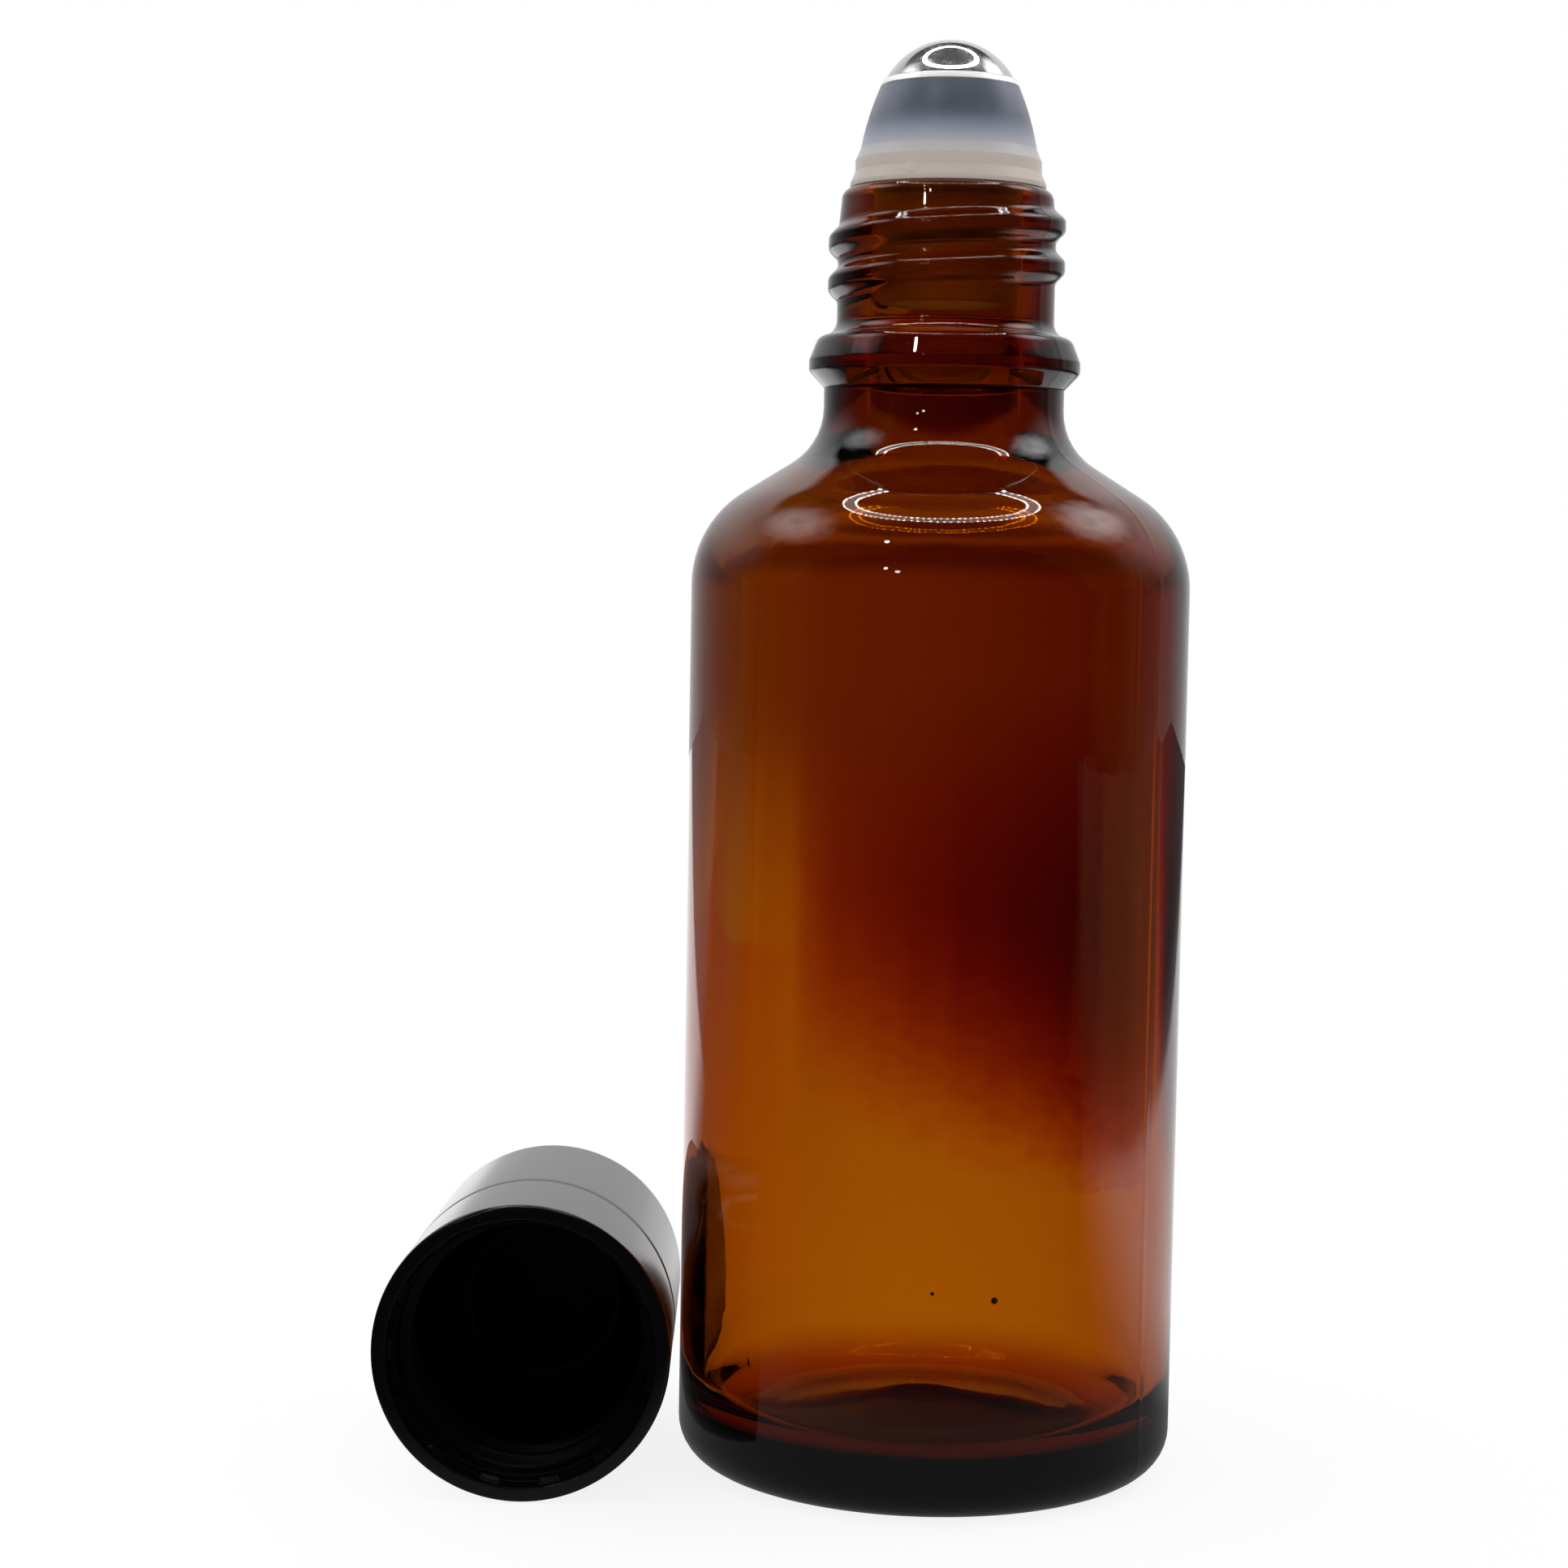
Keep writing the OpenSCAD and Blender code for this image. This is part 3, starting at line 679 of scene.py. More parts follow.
def natural_polyethylene():
    made, tree, output = new_material("natural_polyethylene_moulded_satin")
    coords = add(tree, "ShaderNodeTexCoord").outputs["Object"]
    grain = add(tree, "ShaderNodeTexNoise", {"Vector": coords, "Scale": 1 / GRAIN_SIZE, "Detail": 3.0})
    bump = add(tree, "ShaderNodeBump", {"Height": grain, "Strength": 0.2, "Distance": GRAIN_H})
    height = add(tree, "ShaderNodeSeparateXYZ", {"Vector": coords}).outputs["Z"]
    plug = faded(tree, (height, *PLUG_STARTS))
    # The clear part is tinted blue-grey above the plug: painted shade of the dark ball seen through the cup
    body = add(tree, "ShaderNodeMix", {
        "Factor": plug, "A": rgba("#c0c9dc"), "B": rgba("#fdfaf6"),
    }, data_type="RGBA")
    haze = add(tree, "ShaderNodeMix", {"Factor": plug, "A": HAZE_IN_CUP, "B": HAZE_IN_PLUG})
    clear = add(tree, "ShaderNodeBsdfPrincipled", {
        "Base Color": body, "Roughness": haze, "IOR": 1.51,
        "Transmission Weight": 1.0, "Normal": bump,
    })
    # The milk's blue-grey in the cup is painted shade of the ball behind it, its beige on the band is a
    # painted reflection of the amber glass below, and the lip is pale
    tint = rgba("#b4c2dd")
    for starts, colour in ((BAND_PAINTED_REFLECTION_STARTS, "#bdb0a6"), (LIP_TINT_STARTS, "#f2f0ee")):
        tint = add(tree, "ShaderNodeMix", {
            "Factor": faded(tree, (height, *starts)), "A": tint, "B": rgba(colour),
        }, data_type="RGBA")
    milk = add(tree, "ShaderNodeBsdfPrincipled", {
        "Base Color": tint, "Roughness": 0.4, "IOR": 1.51, "Sheen Weight": 0.5,
        "Sheen Roughness": 0.35, "Normal": bump,
    })
    share = faded(tree, (height, *BAND_MILK_STARTS, MILK_IN_CUP, MILK_IN_BAND))
    share = add(tree, "ShaderNodeMix", {"Factor": plug, "A": share, "B": MILK_IN_PLUG})
    lip = faded(tree, (height, *LIP_MILK_STARTS, 0.0, MILK_IN_LIP))
    share = add(tree, "ShaderNodeMath", {0: share, 1: lip}, operation="MAXIMUM")
    skin = add(tree, "ShaderNodeMixShader", {"Fac": share, 1: clear, 2: milk})
    fill(output, {"Surface": skin})
    return made


housing.data.materials.append(natural_polyethylene())

# %% [markdown]
# ## Polished steel
#
# Bearing steel, ground and lapped: a full metal with a roughness near zero. Metals keep Blender's
# default IOR, because their colour already says how they reflect. Rolling on skin leaves scratches
# that are too fine to show one by one, so they are drawn as dull patches that break the mirror up.

# %% Make the steel
WEAR_SIZE = 1.5 * MM
WEAR_FADE = (0.3, 0.7)
WEAR_SHARES = (0.1, 0.3)


def polished_steel():
    made, tree, output = new_material("bearing_steel_lapped")
    coords = add(tree, "ShaderNodeTexCoord").outputs["Object"]
    wear = add(tree, "ShaderNodeTexNoise", {"Vector": coords, "Scale": 1 / WEAR_SIZE, "Detail": 4.0})
    rough = add(tree, "ShaderNodeMapRange", {"Value": wear, "To Min": 0.008, "To Max": 0.025})
    mirror = add(tree, "ShaderNodeBsdfPrincipled", {
        "Base Color": rgba("#c9cacc"), "Metallic": 1.0, "Roughness": rough,
    })
    dull = add(tree, "ShaderNodeBsdfPrincipled", {
        "Base Color": rgba("#c9cacc"), "Metallic": 1.0, "Roughness": 0.34,
    })
    skin = add(tree, "ShaderNodeMixShader", {
        "Fac": faded(tree, (wear, *WEAR_FADE, *WEAR_SHARES)),
        1: mirror, 2: dull,
    })
    fill(output, {"Surface": skin})
    return made


ball.data.materials.append(polished_steel())

# %% [markdown]
# ## Black polypropylene
#
# Polypropylene with carbon black, from a polished mould: almost no colour of its own, so what the
# eye sees is its gloss, which turns the side of the cap pale where it is seen at a low angle. The
# surface has the faint waviness of a moulding that shrank as it cooled. The core that shaped the
# inside needs no polish, so the inside gets a second material with a weaker and wider gloss.

# %% Make the black plastic
SHRINK_SIZE = 2.5 * MM
SHRINK_H = 0.03 * MM


def black_polypropylene(finish, roughness, gloss):
    made, tree, output = new_material("black_polypropylene_" + finish)
    coords = add(tree, "ShaderNodeTexCoord").outputs["Object"]
    shrink = add(tree, "ShaderNodeTexNoise", {"Vector": coords, "Scale": 1 / SHRINK_SIZE, "Detail": 2.0})
    bump = add(tree, "ShaderNodeBump", {"Height": shrink, "Strength": 0.2, "Distance": SHRINK_H})
    skin = add(tree, "ShaderNodeBsdfPrincipled", {
        "Base Color": rgba("#050506"), "Roughness": roughness, "IOR": 1.49, "Specular IOR Level": gloss,
        "Normal": bump,
    })
    fill(output, {"Surface": skin})
    return made


cap.data.materials.append(black_polypropylene("moulded_gloss", roughness=0.15, gloss=0.5))
cap.data.materials.append(black_polypropylene("unpolished_core", roughness=0.35, gloss=0.12))

# %% [markdown]
# ## The studio
#
# The ground is white where the eye sees it directly. What a shiny skin mirrors and what clear glass
# lets through is the rest of the room, and that decides how glass looks: it is light behind and
# beside the bottle and dark in front, where the camera stands. The dark front keeps amber glass and
# black plastic deep in colour. So the surround has one level for each kind of ray. Light that falls
# on matt surfaces is even, at the strength where a colour renders as it is written.

# %% Build the surround
FRONT_LEVEL = 0.012
THROUGH_FRONT_LEVEL = 0.02
LOW_SIDE_LEVEL = 0.06
LOW_BACK_LEVEL = 0.65
HIGH_SIDE_LEVEL = 0.3
HIGH_BACK_LEVEL = 1.0
# Parts of a direction of length 1: y points to the back and z up
HIGH_STARTS_Z = (0.08, 0.45)
WALL_ENDS_Z = (0.62, 0.68)
WALL_STARTS_Y = (-0.1, 0.4)
THROUGH_STARTS_Y = (-0.1, 0.5)


def studio_surround():
    """A world with its own level for light, for mirrored rays and for rays through glass."""
    world = bpy.data.worlds.new("studio_surround")
    world.use_nodes = True
    tree = world.node_tree
    tree.nodes.clear()
    output = add(tree, "ShaderNodeOutputWorld")
    heading = add(tree, "ShaderNodeTexCoord").outputs["Generated"]
    along = add(tree, "ShaderNodeSeparateXYZ", {"Vector": heading})
    path = add(tree, "ShaderNodeLightPath")
    y = along.outputs["Y"]
    z = along.outputs["Z"]
    back = add(tree, "ShaderNodeMapRange", {"Value": y})
    low = add(tree, "ShaderNodeMapRange", {
        "Value": faded(tree, back, back, back),
        "To Min": LOW_SIDE_LEVEL, "To Max": LOW_SIDE_LEVEL + LOW_BACK_LEVEL,
    })
    high = add(tree, "ShaderNodeMapRange", {
        "Value": back, "To Min": HIGH_SIDE_LEVEL, "To Max": HIGH_BACK_LEVEL,
    })
    wall = add(tree, "ShaderNodeMix", {"Factor": faded(tree, (z, *HIGH_STARTS_Z)), "A": low, "B": high})
    lit = faded(tree, (y, *WALL_STARTS_Y), (z, *WALL_ENDS_Z, 1.0, 0.0))
    mirrored = add(tree, "ShaderNodeMath", {0: faded(tree, wall, lit), 1: FRONT_LEVEL}, operation="ADD")
    level = add(tree, "ShaderNodeMix", {
        "Factor": path.outputs["Is Glossy Ray"], "A": 1.0, "B": mirrored,
    })
    level = add(tree, "ShaderNodeMix", {
        "Factor": path.outputs["Is Transmission Ray"], "A": level,
        "B": faded(tree, (y, *THROUGH_STARTS_Y, THROUGH_FRONT_LEVEL, 1.0)),
    })
    background = add(tree, "ShaderNodeBackground", {"Color": (1, 1, 1, 1), "Strength": level})
    fill(output, {"Surface": background})
    bpy.context.scene.world = world


studio_surround()

# %% [markdown]
# ## Floor, backdrop and film
#
# The floor is white paper. Near the bottle the eye sees the paper itself with its soft shadow, and
# further away plain white, so that floor and surround run together without a horizon. The backdrop
# and a clear brown film stand behind the bottle and show only through the glass: they give the amber
# its fall from golden at the foot to dark red in the middle, as a room behind it would.

# %% Helpers for sheets
def flat_sheet(name, corners):
    """A stage piece: one flat face through its corners."""
    skin = bmesh.new()
    skin.faces.new([skin.verts.new(c) for c in corners])
    made = object_from(name, skin)
    return made


def upright_sheet(name, half_width, y, height):
    """A flat sheet that stands on the floor and faces the camera."""
    return flat_sheet(name, [
        (-half_width, y, 0), (half_width, y, 0), (half_width, y, height), (-half_width, y, height),
    ])


def show_only(piece, *kinds):
    """Lets only the given kinds of ray see a piece."""
    for kind in ("camera", "diffuse", "glossy", "transmission", "shadow", "volume_scatter"):
        setattr(piece, "visible_" + kind, kind in kinds)


def x_y_z(tree):
    """Sockets with a point's x, y and z."""
    coords = add(tree, "ShaderNodeTexCoord").outputs["Object"]
    split = add(tree, "ShaderNodeSeparateXYZ", {"Vector": coords})
    return split.outputs["X"], split.outputs["Y"], split.outputs["Z"]


# %% [markdown]
# ## The floor
#
# Seen by the eye, the floor is plain paper with a shadow. Seen in a mirror or through the glass, it
# has its own levels, given below in metres from the bottle's foot. Mirrored, it is a lit sheet that
# starts beside the bottle and lies behind it, with a weaker floor round it and a dark front. Through
# the glass it is warm and fades away behind, and right under the bottle it is darkened by a painted
# shadow.

# %% Lay the floor
FLOOR_SIZE = 1.6
# Distances between which the paper turns plain white, and the share of white at both
SHADOW_ZONE = (0.025, 0.06)
PAPER_SHARE = (0.86, 1.0)
# The mirrored sheet: its level, brighter to the left, and its edges
MIRRORED_PAPER = (0.6, 1.1)
MIRRORED_LEFT_X = (0.0, -0.05)
MIRRORED_FRONT_EDGE = (0.005, 0.075)
MIRRORED_FRONT_SLANT = 0.5
MIRRORED_LEFT_EDGE = (-0.135, -0.12)
MIRRORED_LEFT_SLANT = 0.28
MIRRORED_RIGHT_EDGE = (0.16, 0.13)
# The mirrored floor round the sheet, which gets weaker to the right
MIRRORED_FLOOR = (0.25, 0.08)
MIRRORED_FLOOR_X = (0.12, 0.22)
# The mirrored floor close to the foot and beside it
MIRRORED_NEAR = 0.18
MIRRORED_NEAR_ZONE = (0.035, 0.065)
MIRRORED_SIDE = 0.08
MIRRORED_SIDE_Y = (-0.02, 0.08)
# What shows through the glass
BACKDROP_FOOT = (0.8, 0.54, 0.2)
FLOOR_THROUGH = (0.94, 0.8, 0.5)
FLOOR_FADE_Y = (0.03, 0.28)
FLOOR_STARTS_Y = (-0.03, 0.02)
# A painted shadow under the bottle's foot: its colour, and the distances between which it fades out
PAINTED_FOOT_SHADOW = (0.05, 0.06, 0.08)
PAINTED_FOOT_SHADOW_ZONE = (0.0125, 0.0165)


def mirrored_floor(tree, x, y, away):
    """The floor's level in a mirror."""
    slant = add(tree, "ShaderNodeMath", {0: x, 1: MIRRORED_FRONT_SLANT, 2: y}, operation="MULTIPLY_ADD")
    lean = add(tree, "ShaderNodeMath", {0: y, 1: MIRRORED_LEFT_SLANT, 2: x}, operation="MULTIPLY_ADD")
    sheet = faded(
        tree, (lean, *MIRRORED_LEFT_EDGE), (x, *MIRRORED_RIGHT_EDGE), (x, *MIRRORED_LEFT_X, *MIRRORED_PAPER)
    )
    rest = faded(tree, (x, *MIRRORED_FLOOR_X, *MIRRORED_FLOOR))
    behind = add(tree, "ShaderNodeMath", {0: sheet, 1: rest}, operation="ADD")
    near = add(tree, "ShaderNodeMath", {
        0: faded(tree, (away, *MIRRORED_NEAR_ZONE, MIRRORED_NEAR, FRONT_LEVEL)),
        1: faded(tree, (y, *MIRRORED_SIDE_Y, 0.0, MIRRORED_SIDE)),
    }, operation="MAXIMUM")
    return add(tree, "ShaderNodeMath", {
        0: faded(tree, behind, (slant, *MIRRORED_FRONT_EDGE)), 1: near,
    }, operation="MAXIMUM")


def floor_paper():
    made, tree, output = new_material("floor_white_paper")
    x, y, _ = x_y_z(tree)
    coords = add(tree, "ShaderNodeTexCoord").outputs["Object"]
    away = add(tree, "ShaderNodeVectorMath", {0: coords}, operation="LENGTH")
    path = add(tree, "ShaderNodeLightPath")
    through = path.outputs["Is Transmission Ray"]
    not_through = add(tree, "ShaderNodeMath", {0: 1.0, 1: through}, operation="SUBTRACT")
    paper = add(tree, "ShaderNodeBsdfDiffuse", {"Color": rgba("#f6f6f6")})
    white = add(tree, "ShaderNodeEmission", {"Color": (1, 1, 1, 1), "Strength": 1.0})
    in_mirror = add(tree, "ShaderNodeEmission", {"Strength": mirrored_floor(tree, x, y, away)})
    fade = add(tree, "ShaderNodeMapRange", {
        "Value": y, "From Min": FLOOR_FADE_Y[0], "From Max": FLOOR_FADE_Y[1],
    })
    far = add(tree, "ShaderNodeMix", {
        "Factor": fade, "A": (*FLOOR_THROUGH, 1.0), "B": (*BACKDROP_FOOT, 1.0),
    }, data_type="RGBA")
    # Through the glass, a painted shadow darkens the paper right under the bottle
    shade = add(tree, "ShaderNodeMix", {
        "Factor": faded(tree, (away, *PAINTED_FOOT_SHADOW_ZONE)), "A": (*PAINTED_FOOT_SHADOW, 1.0),
        "B": far,
    }, data_type="RGBA")
    in_glass = add(tree, "ShaderNodeEmission", {
        "Color": shade,
        "Strength": faded(tree, (y, *FLOOR_STARTS_Y, THROUGH_FRONT_LEVEL, 1.0)),
    })
    base = add(tree, "ShaderNodeMixShader", {
        "Fac": faded(tree, path.outputs["Is Glossy Ray"], not_through),
        1: paper, 2: in_mirror,
    })
    base = add(tree, "ShaderNodeMixShader", {"Fac": through, 1: base, 2: in_glass})
    seen = add(tree, "ShaderNodeMixShader", {
        "Fac": faded(tree, path.outputs["Is Camera Ray"], (away, *SHADOW_ZONE, *PAPER_SHARE)),
        1: base, 2: white,
    })
    fill(output, {"Surface": seen})
    return made


half = FLOOR_SIZE / 2
floor = flat_sheet("floor", [(-half, -half, 0), (half, -half, 0), (half, half, 0), (-half, half, 0)])
floor.data.materials.append(floor_paper())

# %% [markdown]
# ## The backdrop
#
# The backdrop glows like lit paper, in a colour for each height. A lamp on real paper would do the
# same, but would also light the bottle from behind, and this way only rays through glass see it.

# %% Set up the backdrop
BACKDROP_Y = 0.30
BACKDROP_H = 0.8
# Each further colour up the backdrop, and the heights between which it takes over
BACKDROP_COLOURS = (
    ((0.38, 0.17, 0.05), 0.0, 0.045), ((0.2, 0.06, 0.02), 0.066, 0.09), ((0.42, 0.27, 0.1), 0.108, 0.125),
)
# The left side is multiplied by a colour of its own
BACKDROP_LEFT = (1.0, 1.6, 1.3)
BACKDROP_LEFT_X = (-0.04, -0.1)


def backdrop_paper():
    made, tree, output = new_material("backdrop_fading_paper")
    x, _, z = x_y_z(tree)
    colour = (*BACKDROP_FOOT, 1.0)
    for following, low, high in BACKDROP_COLOURS:
        colour = add(tree, "ShaderNodeMix", {
            "Factor": faded(tree, (z, low, high)), "A": colour, "B": (*following, 1.0),
        }, data_type="RGBA")
    colour = add(tree, "ShaderNodeMix", {
        "Factor": faded(tree, (x, *BACKDROP_LEFT_X)), "A": colour, "B": (*BACKDROP_LEFT, 1.0),
    }, data_type="RGBA", blend_type="MULTIPLY", clamp_result=False)
    glow = add(tree, "ShaderNodeEmission", {"Color": colour, "Strength": 1.0})
    clear = add(tree, "ShaderNodeBsdfTransparent")
    # Only rays that last went through a sharp surface see the paper. The others pass it to the white
    mixed = add(tree, "ShaderNodeMixShader", {
        "Fac": add(tree, "ShaderNodeLightPath").outputs["Is Singular Ray"],
        1: clear, 2: glow,
    })
    fill(output, {"Surface": mixed})
    return made


backdrop = upright_sheet("backdrop", half, BACKDROP_Y, BACKDROP_H)
backdrop.data.materials.append(backdrop_paper())
show_only(backdrop, "transmission")

# %% [markdown]
# ## The film
#
# The film works like a photographer's colour filter. A thicker filter lets through the same share
# once more with every layer, so what it lets through is raised to a power. That power is its depth
# of colour, which fades to the left, to the foot, to the top and at the far right.

# %% Set up the film
FILM_Y = 0.10
FILM_HALF = 0.15
FILM_H = 0.12
FILM_LETS_THROUGH = (0.15, 0.004, 0.001)
FILM_EDGE_X = (-0.0235, -0.0165)
FILM_END_X = (0.05, 0.14)
FILM_DEEPER_X = (-0.022, 0.04)
FILM_DEEPER_SHARES = (0.17, 1.5)
FILM_FOOT_Z = (0.0, 0.032)
FILM_TOP_Z = (0.027, 0.056)
FILM_TOP_SHARE = 0.22
FILM_HEAD_Z = (0.085, 0.094)
# The foot's edge lies lower on the right, and waves a little
FILM_SLANT_X = (-0.02, 0.03)
FILM_SLANT = (-0.004, 0.006)
FILM_WAVE_SIZE = 0.012
FILM_WAVE = -0.004


def brown_film():
    made, tree, output = new_material("film_clear_brown")
    x, _, z = x_y_z(tree)
    waves = add(tree, "ShaderNodeTexNoise", {"Scale": 1 / FILM_WAVE_SIZE, "Detail": 2.0})
    slant = add(tree, "ShaderNodeMapRange", {
        "Value": x, "From Min": FILM_SLANT_X[0], "From Max": FILM_SLANT_X[1],
        "To Min": FILM_SLANT[0], "To Max": FILM_SLANT[1],
    })
    deeper = add(tree, "ShaderNodeMapRange", {
        "Value": x, "From Min": FILM_DEEPER_X[0], "From Max": FILM_DEEPER_X[1],
        "To Min": FILM_DEEPER_SHARES[0], "To Max": FILM_DEEPER_SHARES[1],
    })
    foot = add(tree, "ShaderNodeMath", {0: waves, 1: FILM_WAVE, 2: z}, operation="MULTIPLY_ADD")
    foot = add(tree, "ShaderNodeMath", {0: foot, 1: slant}, operation="ADD")
    depth = faded(
        tree, (x, *FILM_EDGE_X), deeper, (x, *FILM_END_X, 1.0, 0.0), (foot, *FILM_FOOT_Z),
        (z, *FILM_TOP_Z, 1.0, FILM_TOP_SHARE), (z, *FILM_HEAD_Z, 1.0, 0.0),
    )
    shares = [
        add(tree, "ShaderNodeMath", {0: share, 1: depth}, operation="POWER")
        for share in FILM_LETS_THROUGH
    ]
    tint = add(tree, "ShaderNodeCombineColor", dict(zip(("Red", "Green", "Blue"), shares)))
    clear = add(tree, "ShaderNodeBsdfTransparent", {"Color": tint})
    fill(output, {"Surface": clear})
    return made


film = upright_sheet("brown_film", FILM_HALF, FILM_Y, FILM_H)
film.data.materials.append(brown_film())
show_only(film, "transmission")

# %% [markdown]
# ## The lamps
#
# In a real studio a lamp lights a thing and is mirrored in it. Here the two are set apart, so that
# each can be as strong as it needs to be. All lamps face the bottle's shoulder, and share the helpers
# for that and for their glow.

# %% Helpers for lamps
AIM = Vector((0, 0, 0.07))


def facing(spot, front):
    """The turn that points a piece's front axis at the bottle's shoulder."""
    return (AIM - Vector(spot)).to_track_quat(front, "Y")


def towards(around, up, away):
    """A place in a direction round the bottle, seen from the height of its shoulder."""
    around = math.radians(around)
    up = math.radians(up)
    flat = math.cos(up)
    return Vector((math.sin(around) * flat, math.cos(around) * flat, math.sin(up))) * away + AIM


def lamp_glow(name, level):
    """A material that gives off slightly warm white light."""
    made, tree, output = new_material(name)
    lamp = add(tree, "ShaderNodeEmission", {"Color": rgba("#fffdf6"), "Strength": level})
    fill(output, {"Surface": lamp})
    return made


# %% [markdown]
# ## Soft boxes and windows
#
# Two soft boxes stand high on the left and the right, a little behind, and make the two soft patches
# on the shoulder. Each is a pair: a lamp that gives the light and shows in no mirror, and a glowing
# window with ragged edges that only mirrors see.

# %% Set up the soft boxes and their windows
LEFT_PLACE = (-0.385, 0.054, 0.459)
RIGHT_PLACE = (0.358, 0.152, 0.46)
# Width and height in metres, and brightness
SOFT_BOXES = (("left", LEFT_PLACE, (0.40, 0.20), 1.0), ("right", RIGHT_PLACE, (0.40, 0.22), 1.6))
WINDOWS = (("left", LEFT_PLACE, (0.56, 0.34), 2.0), ("right", RIGHT_PLACE, (0.56, 0.36), 2.8))
WATTS_PER_AREA = 4
CLOUD_SIZE = 0.07
CLOUD_RANGE = (0.25, 0.75)
CLOUD_SHARES = (0.75, 1.25)
# How far the clouds push the edge, and the distances from the middle at which it fades
RAGGED_SHARE = 0.7
RAGGED_EDGE = (1.45, 0.6)


def soft_box(name, spot, size, level):
    """A weak rectangular lamp that faces the bottle and shows in no mirror."""
    light = bpy.data.lights.new(name, "AREA")
    light.shape = "RECTANGLE"
    light.size, light.size_y = size
    light.energy = WATTS_PER_AREA * level * size[0] * size[1]
    made = in_scene(name, light)
    made.location = spot
    made.rotation_euler = facing(spot, "-Z").to_euler()
    made.visible_glossy = False
    made.visible_transmission = False


def window_material(name, half_width, half_height, level):
    """Glowing and cloudy, with soft ragged edges."""
    made, tree, output = new_material(name)
    coords = add(tree, "ShaderNodeTexCoord").outputs["Object"]
    across = add(tree, "ShaderNodeVectorMath", {
        0: coords, 1: (1 / half_width, 1 / half_height, 1.0),
    }, operation="MULTIPLY")
    out = add(tree, "ShaderNodeVectorMath", {0: across}, operation="LENGTH")
    cloudy = add(tree, "ShaderNodeTexNoise", {"Vector": coords, "Scale": 1 / CLOUD_SIZE, "Detail": 4.0})
    ragged = add(tree, "ShaderNodeMath", {0: cloudy, 1: RAGGED_SHARE, 2: out}, operation="MULTIPLY_ADD")
    cover = faded(tree, (ragged, *RAGGED_EDGE))
    levels = [share * level for share in CLOUD_SHARES]
    lamp = add(tree, "ShaderNodeEmission", {
        "Strength": faded(tree, cover, (cloudy, *CLOUD_RANGE, *levels)),
    })
    clear = add(tree, "ShaderNodeBsdfTransparent")
    skin = add(tree, "ShaderNodeMixShader", {"Fac": cover, 1: clear, 2: lamp})
    fill(output, {"Surface": skin})
    return made


def window_glow(name, spot, size, level):
    """What shiny skins mirror of a soft box."""
    x = size[0] / 2
    y = size[1] / 2
    made = flat_sheet(name, [(-x, -y, 0), (x, -y, 0), (x, y, 0), (-x, y, 0)])
    made.location = spot
    made.rotation_euler = facing(spot, "Z").to_euler()
    made.data.materials.append(window_material(name + "_glow", x, y, level))
    show_only(made, "glossy")


for side, spot, size, level in SOFT_BOXES:
    soft_box(side + "_soft_box", spot, size, level)
for side, spot, size, level in WINDOWS:
    window_glow(side + "_window", spot, size, level)

# %% [markdown]
# ## Room lamps
#
# Three small lamps in front, to the left of the camera, leave glints in the glass. They are flat
# discs, because a glint shows only where a lamp stands and how large it looks.

# %% Set up the room lamps
# Direction from the bottle (degrees from the back, minus is left), height in degrees and brightness
ROOM_LAMPS = ((-150, 45, 60.0), (-155, 19, 30.0), (-161, 16, 20.0))
ROOM_LAMP_AWAY = 0.6
ROOM_LAMP_R = 0.012
ROOM_LAMP_CORNERS = 12


def glowing_disc(name, spot, radius, level, count):
    """A flat glowing disc that faces the bottle and that only mirrors see."""
    turn = facing(spot, "Z").to_matrix()
    rim = [Vector((math.cos(a), math.sin(a), 0)) for a in map(math.radians, evenly(count))]
    made = flat_sheet(name, [spot + turn @ corner * radius for corner in rim])
    made.data.materials.append(lamp_glow(name + "_glow", level))
    show_only(made, "glossy")


for number, (around, up, level) in enumerate(ROOM_LAMPS):
    spot = towards(around, up, ROOM_LAMP_AWAY)
    glowing_disc(f"room_lamp_{number + 1}", spot, ROOM_LAMP_R, level, ROOM_LAMP_CORNERS)

# %% [markdown]
# ## The ring
#
# A ring of small lamps hangs above, with a faintly glowing diffuser behind its dots. It shows in the
# ball and on the shoulder. All dots are one mesh, so that the scene stays short.

# %% Hang the ring of lamps
RING_H = 388 * MM
RING_Y = 30 * MM
RING_ROWS = (129 * MM, 152 * MM)
RING_LEDS = 72
LED_R = 3.2 * MM
LED_CORNERS = 6
LED_LEVEL = 40.0
# The diffuser reaches past both rows and hangs just over them
DIFFUSER_MARGIN = 4 * MM
DIFFUSER_LIFT = 1 * MM
DIFFUSER_LEVEL = 1.5


def on_ring(radius, share, lift=0.0):
    """A place on the ring at a share of a full turn."""
    a = 2 * math.pi * share
    return Vector((radius * math.cos(a), RING_Y + radius * math.sin(a), RING_H + lift))


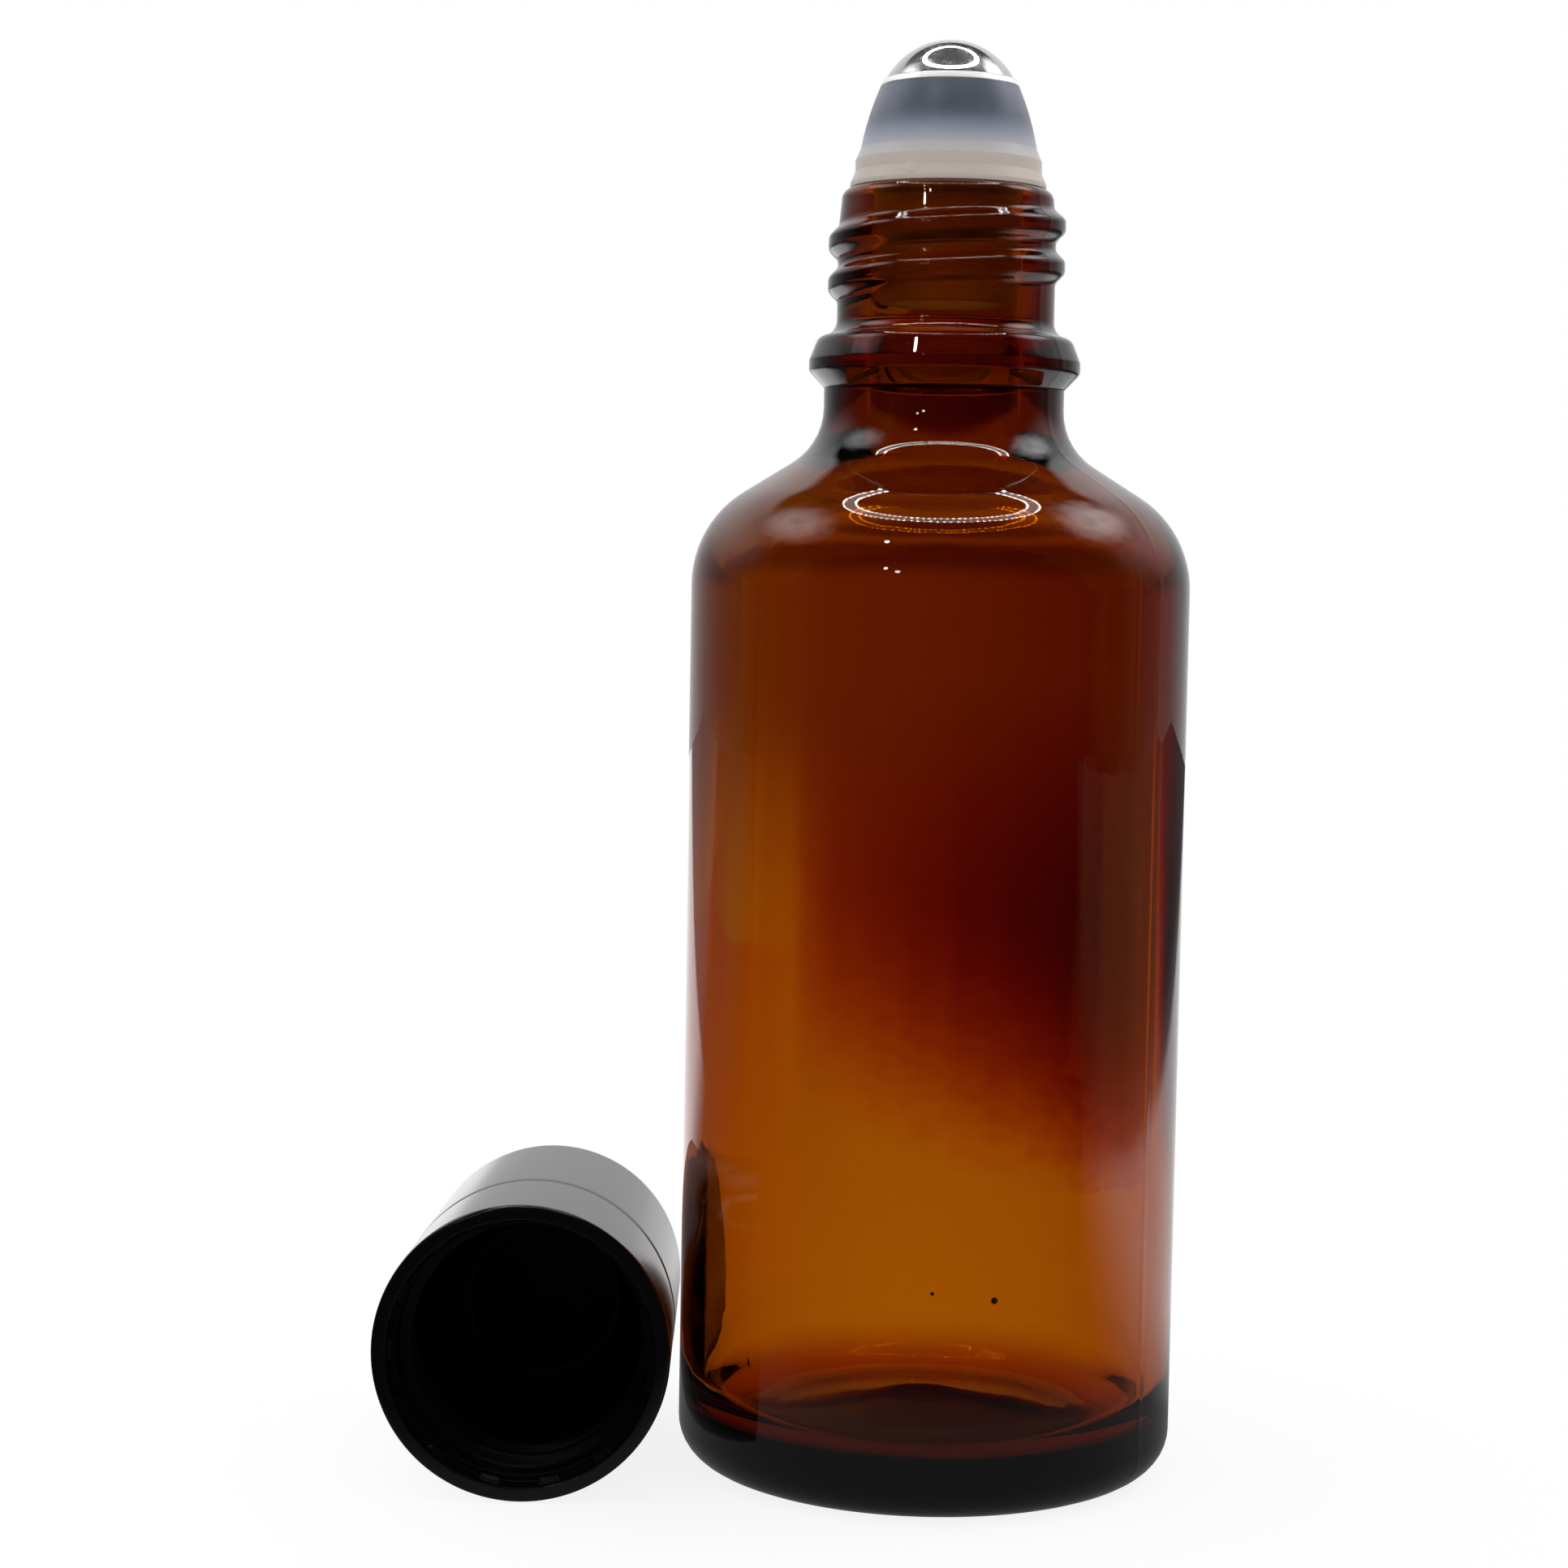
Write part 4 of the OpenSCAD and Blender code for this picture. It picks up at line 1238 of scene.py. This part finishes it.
def led_ring():
    """Rows of small round lamps on a ring above the bottle, with their diffuser."""
    skin = bmesh.new()
    for row, radius in enumerate(RING_ROWS):
        for k in range(RING_LEDS):
            centre = on_ring(radius, (k + row / 2) / RING_LEDS)
            skin.faces.new([
                skin.verts.new(centre + Vector((math.cos(b), -math.sin(b), 0)) * LED_R)
                for b in map(math.radians, evenly(LED_CORNERS))
            ])
    inner, outer = [
        [skin.verts.new(on_ring(r, k / RING_LEDS, DIFFUSER_LIFT)) for k in range(RING_LEDS)]
        for r in (RING_ROWS[0] - DIFFUSER_MARGIN, RING_ROWS[1] + DIFFUSER_MARGIN)
    ]
    for k in range(RING_LEDS):
        j = (k + 1) % RING_LEDS
        skin.faces.new((inner[k], inner[j], outer[j], outer[k])).material_index = 1
    made = object_from("led_ring", skin)
    show_only(made, "glossy", "transmission")
    made.data.materials.append(lamp_glow("led_glow", LED_LEVEL))
    made.data.materials.append(lamp_glow("diffuser_glow", DIFFUSER_LEVEL))


led_ring()

# %% [markdown]
# ## The camera
#
# A long lens, a hand's width above the table, tipped slightly down and turned a little to the left,
# so that the bottle stands right of the middle.

# %% Place the camera
CAMERA_PLACE = Vector((0, -234, 67.25)) * MM
CAMERA_LENS = 72.67
CAMERA_SENSOR = 36
CAMERA_NEAREST = 0.01
CAMERA_YAW = math.radians(-2.75)
CAMERA_PITCH = math.radians(4.15)
CAMERA_ROLL = math.radians(1.0)


def place_camera():
    made = in_scene("camera", bpy.data.cameras.new("camera"))
    made.data.sensor_width = CAMERA_SENSOR
    made.data.lens = CAMERA_LENS
    made.data.clip_start = CAMERA_NEAREST
    level = Vector((math.sin(CAMERA_YAW), math.cos(CAMERA_YAW), 0))
    ahead = level * math.cos(CAMERA_PITCH) - Vector((0, 0, math.sin(CAMERA_PITCH)))
    right = Vector((math.cos(CAMERA_YAW), -math.sin(CAMERA_YAW), 0))
    above = right.cross(ahead)
    across = math.cos(CAMERA_ROLL) * right + math.sin(CAMERA_ROLL) * above
    upright = -math.sin(CAMERA_ROLL) * right + math.cos(CAMERA_ROLL) * above
    turned = Matrix((across, upright, -ahead)).transposed()
    made.matrix_world = Matrix.Translation(CAMERA_PLACE) @ turned.to_4x4()
    bpy.context.scene.camera = made


place_camera()
bpy.context.scene.view_settings.view_transform = "Standard"
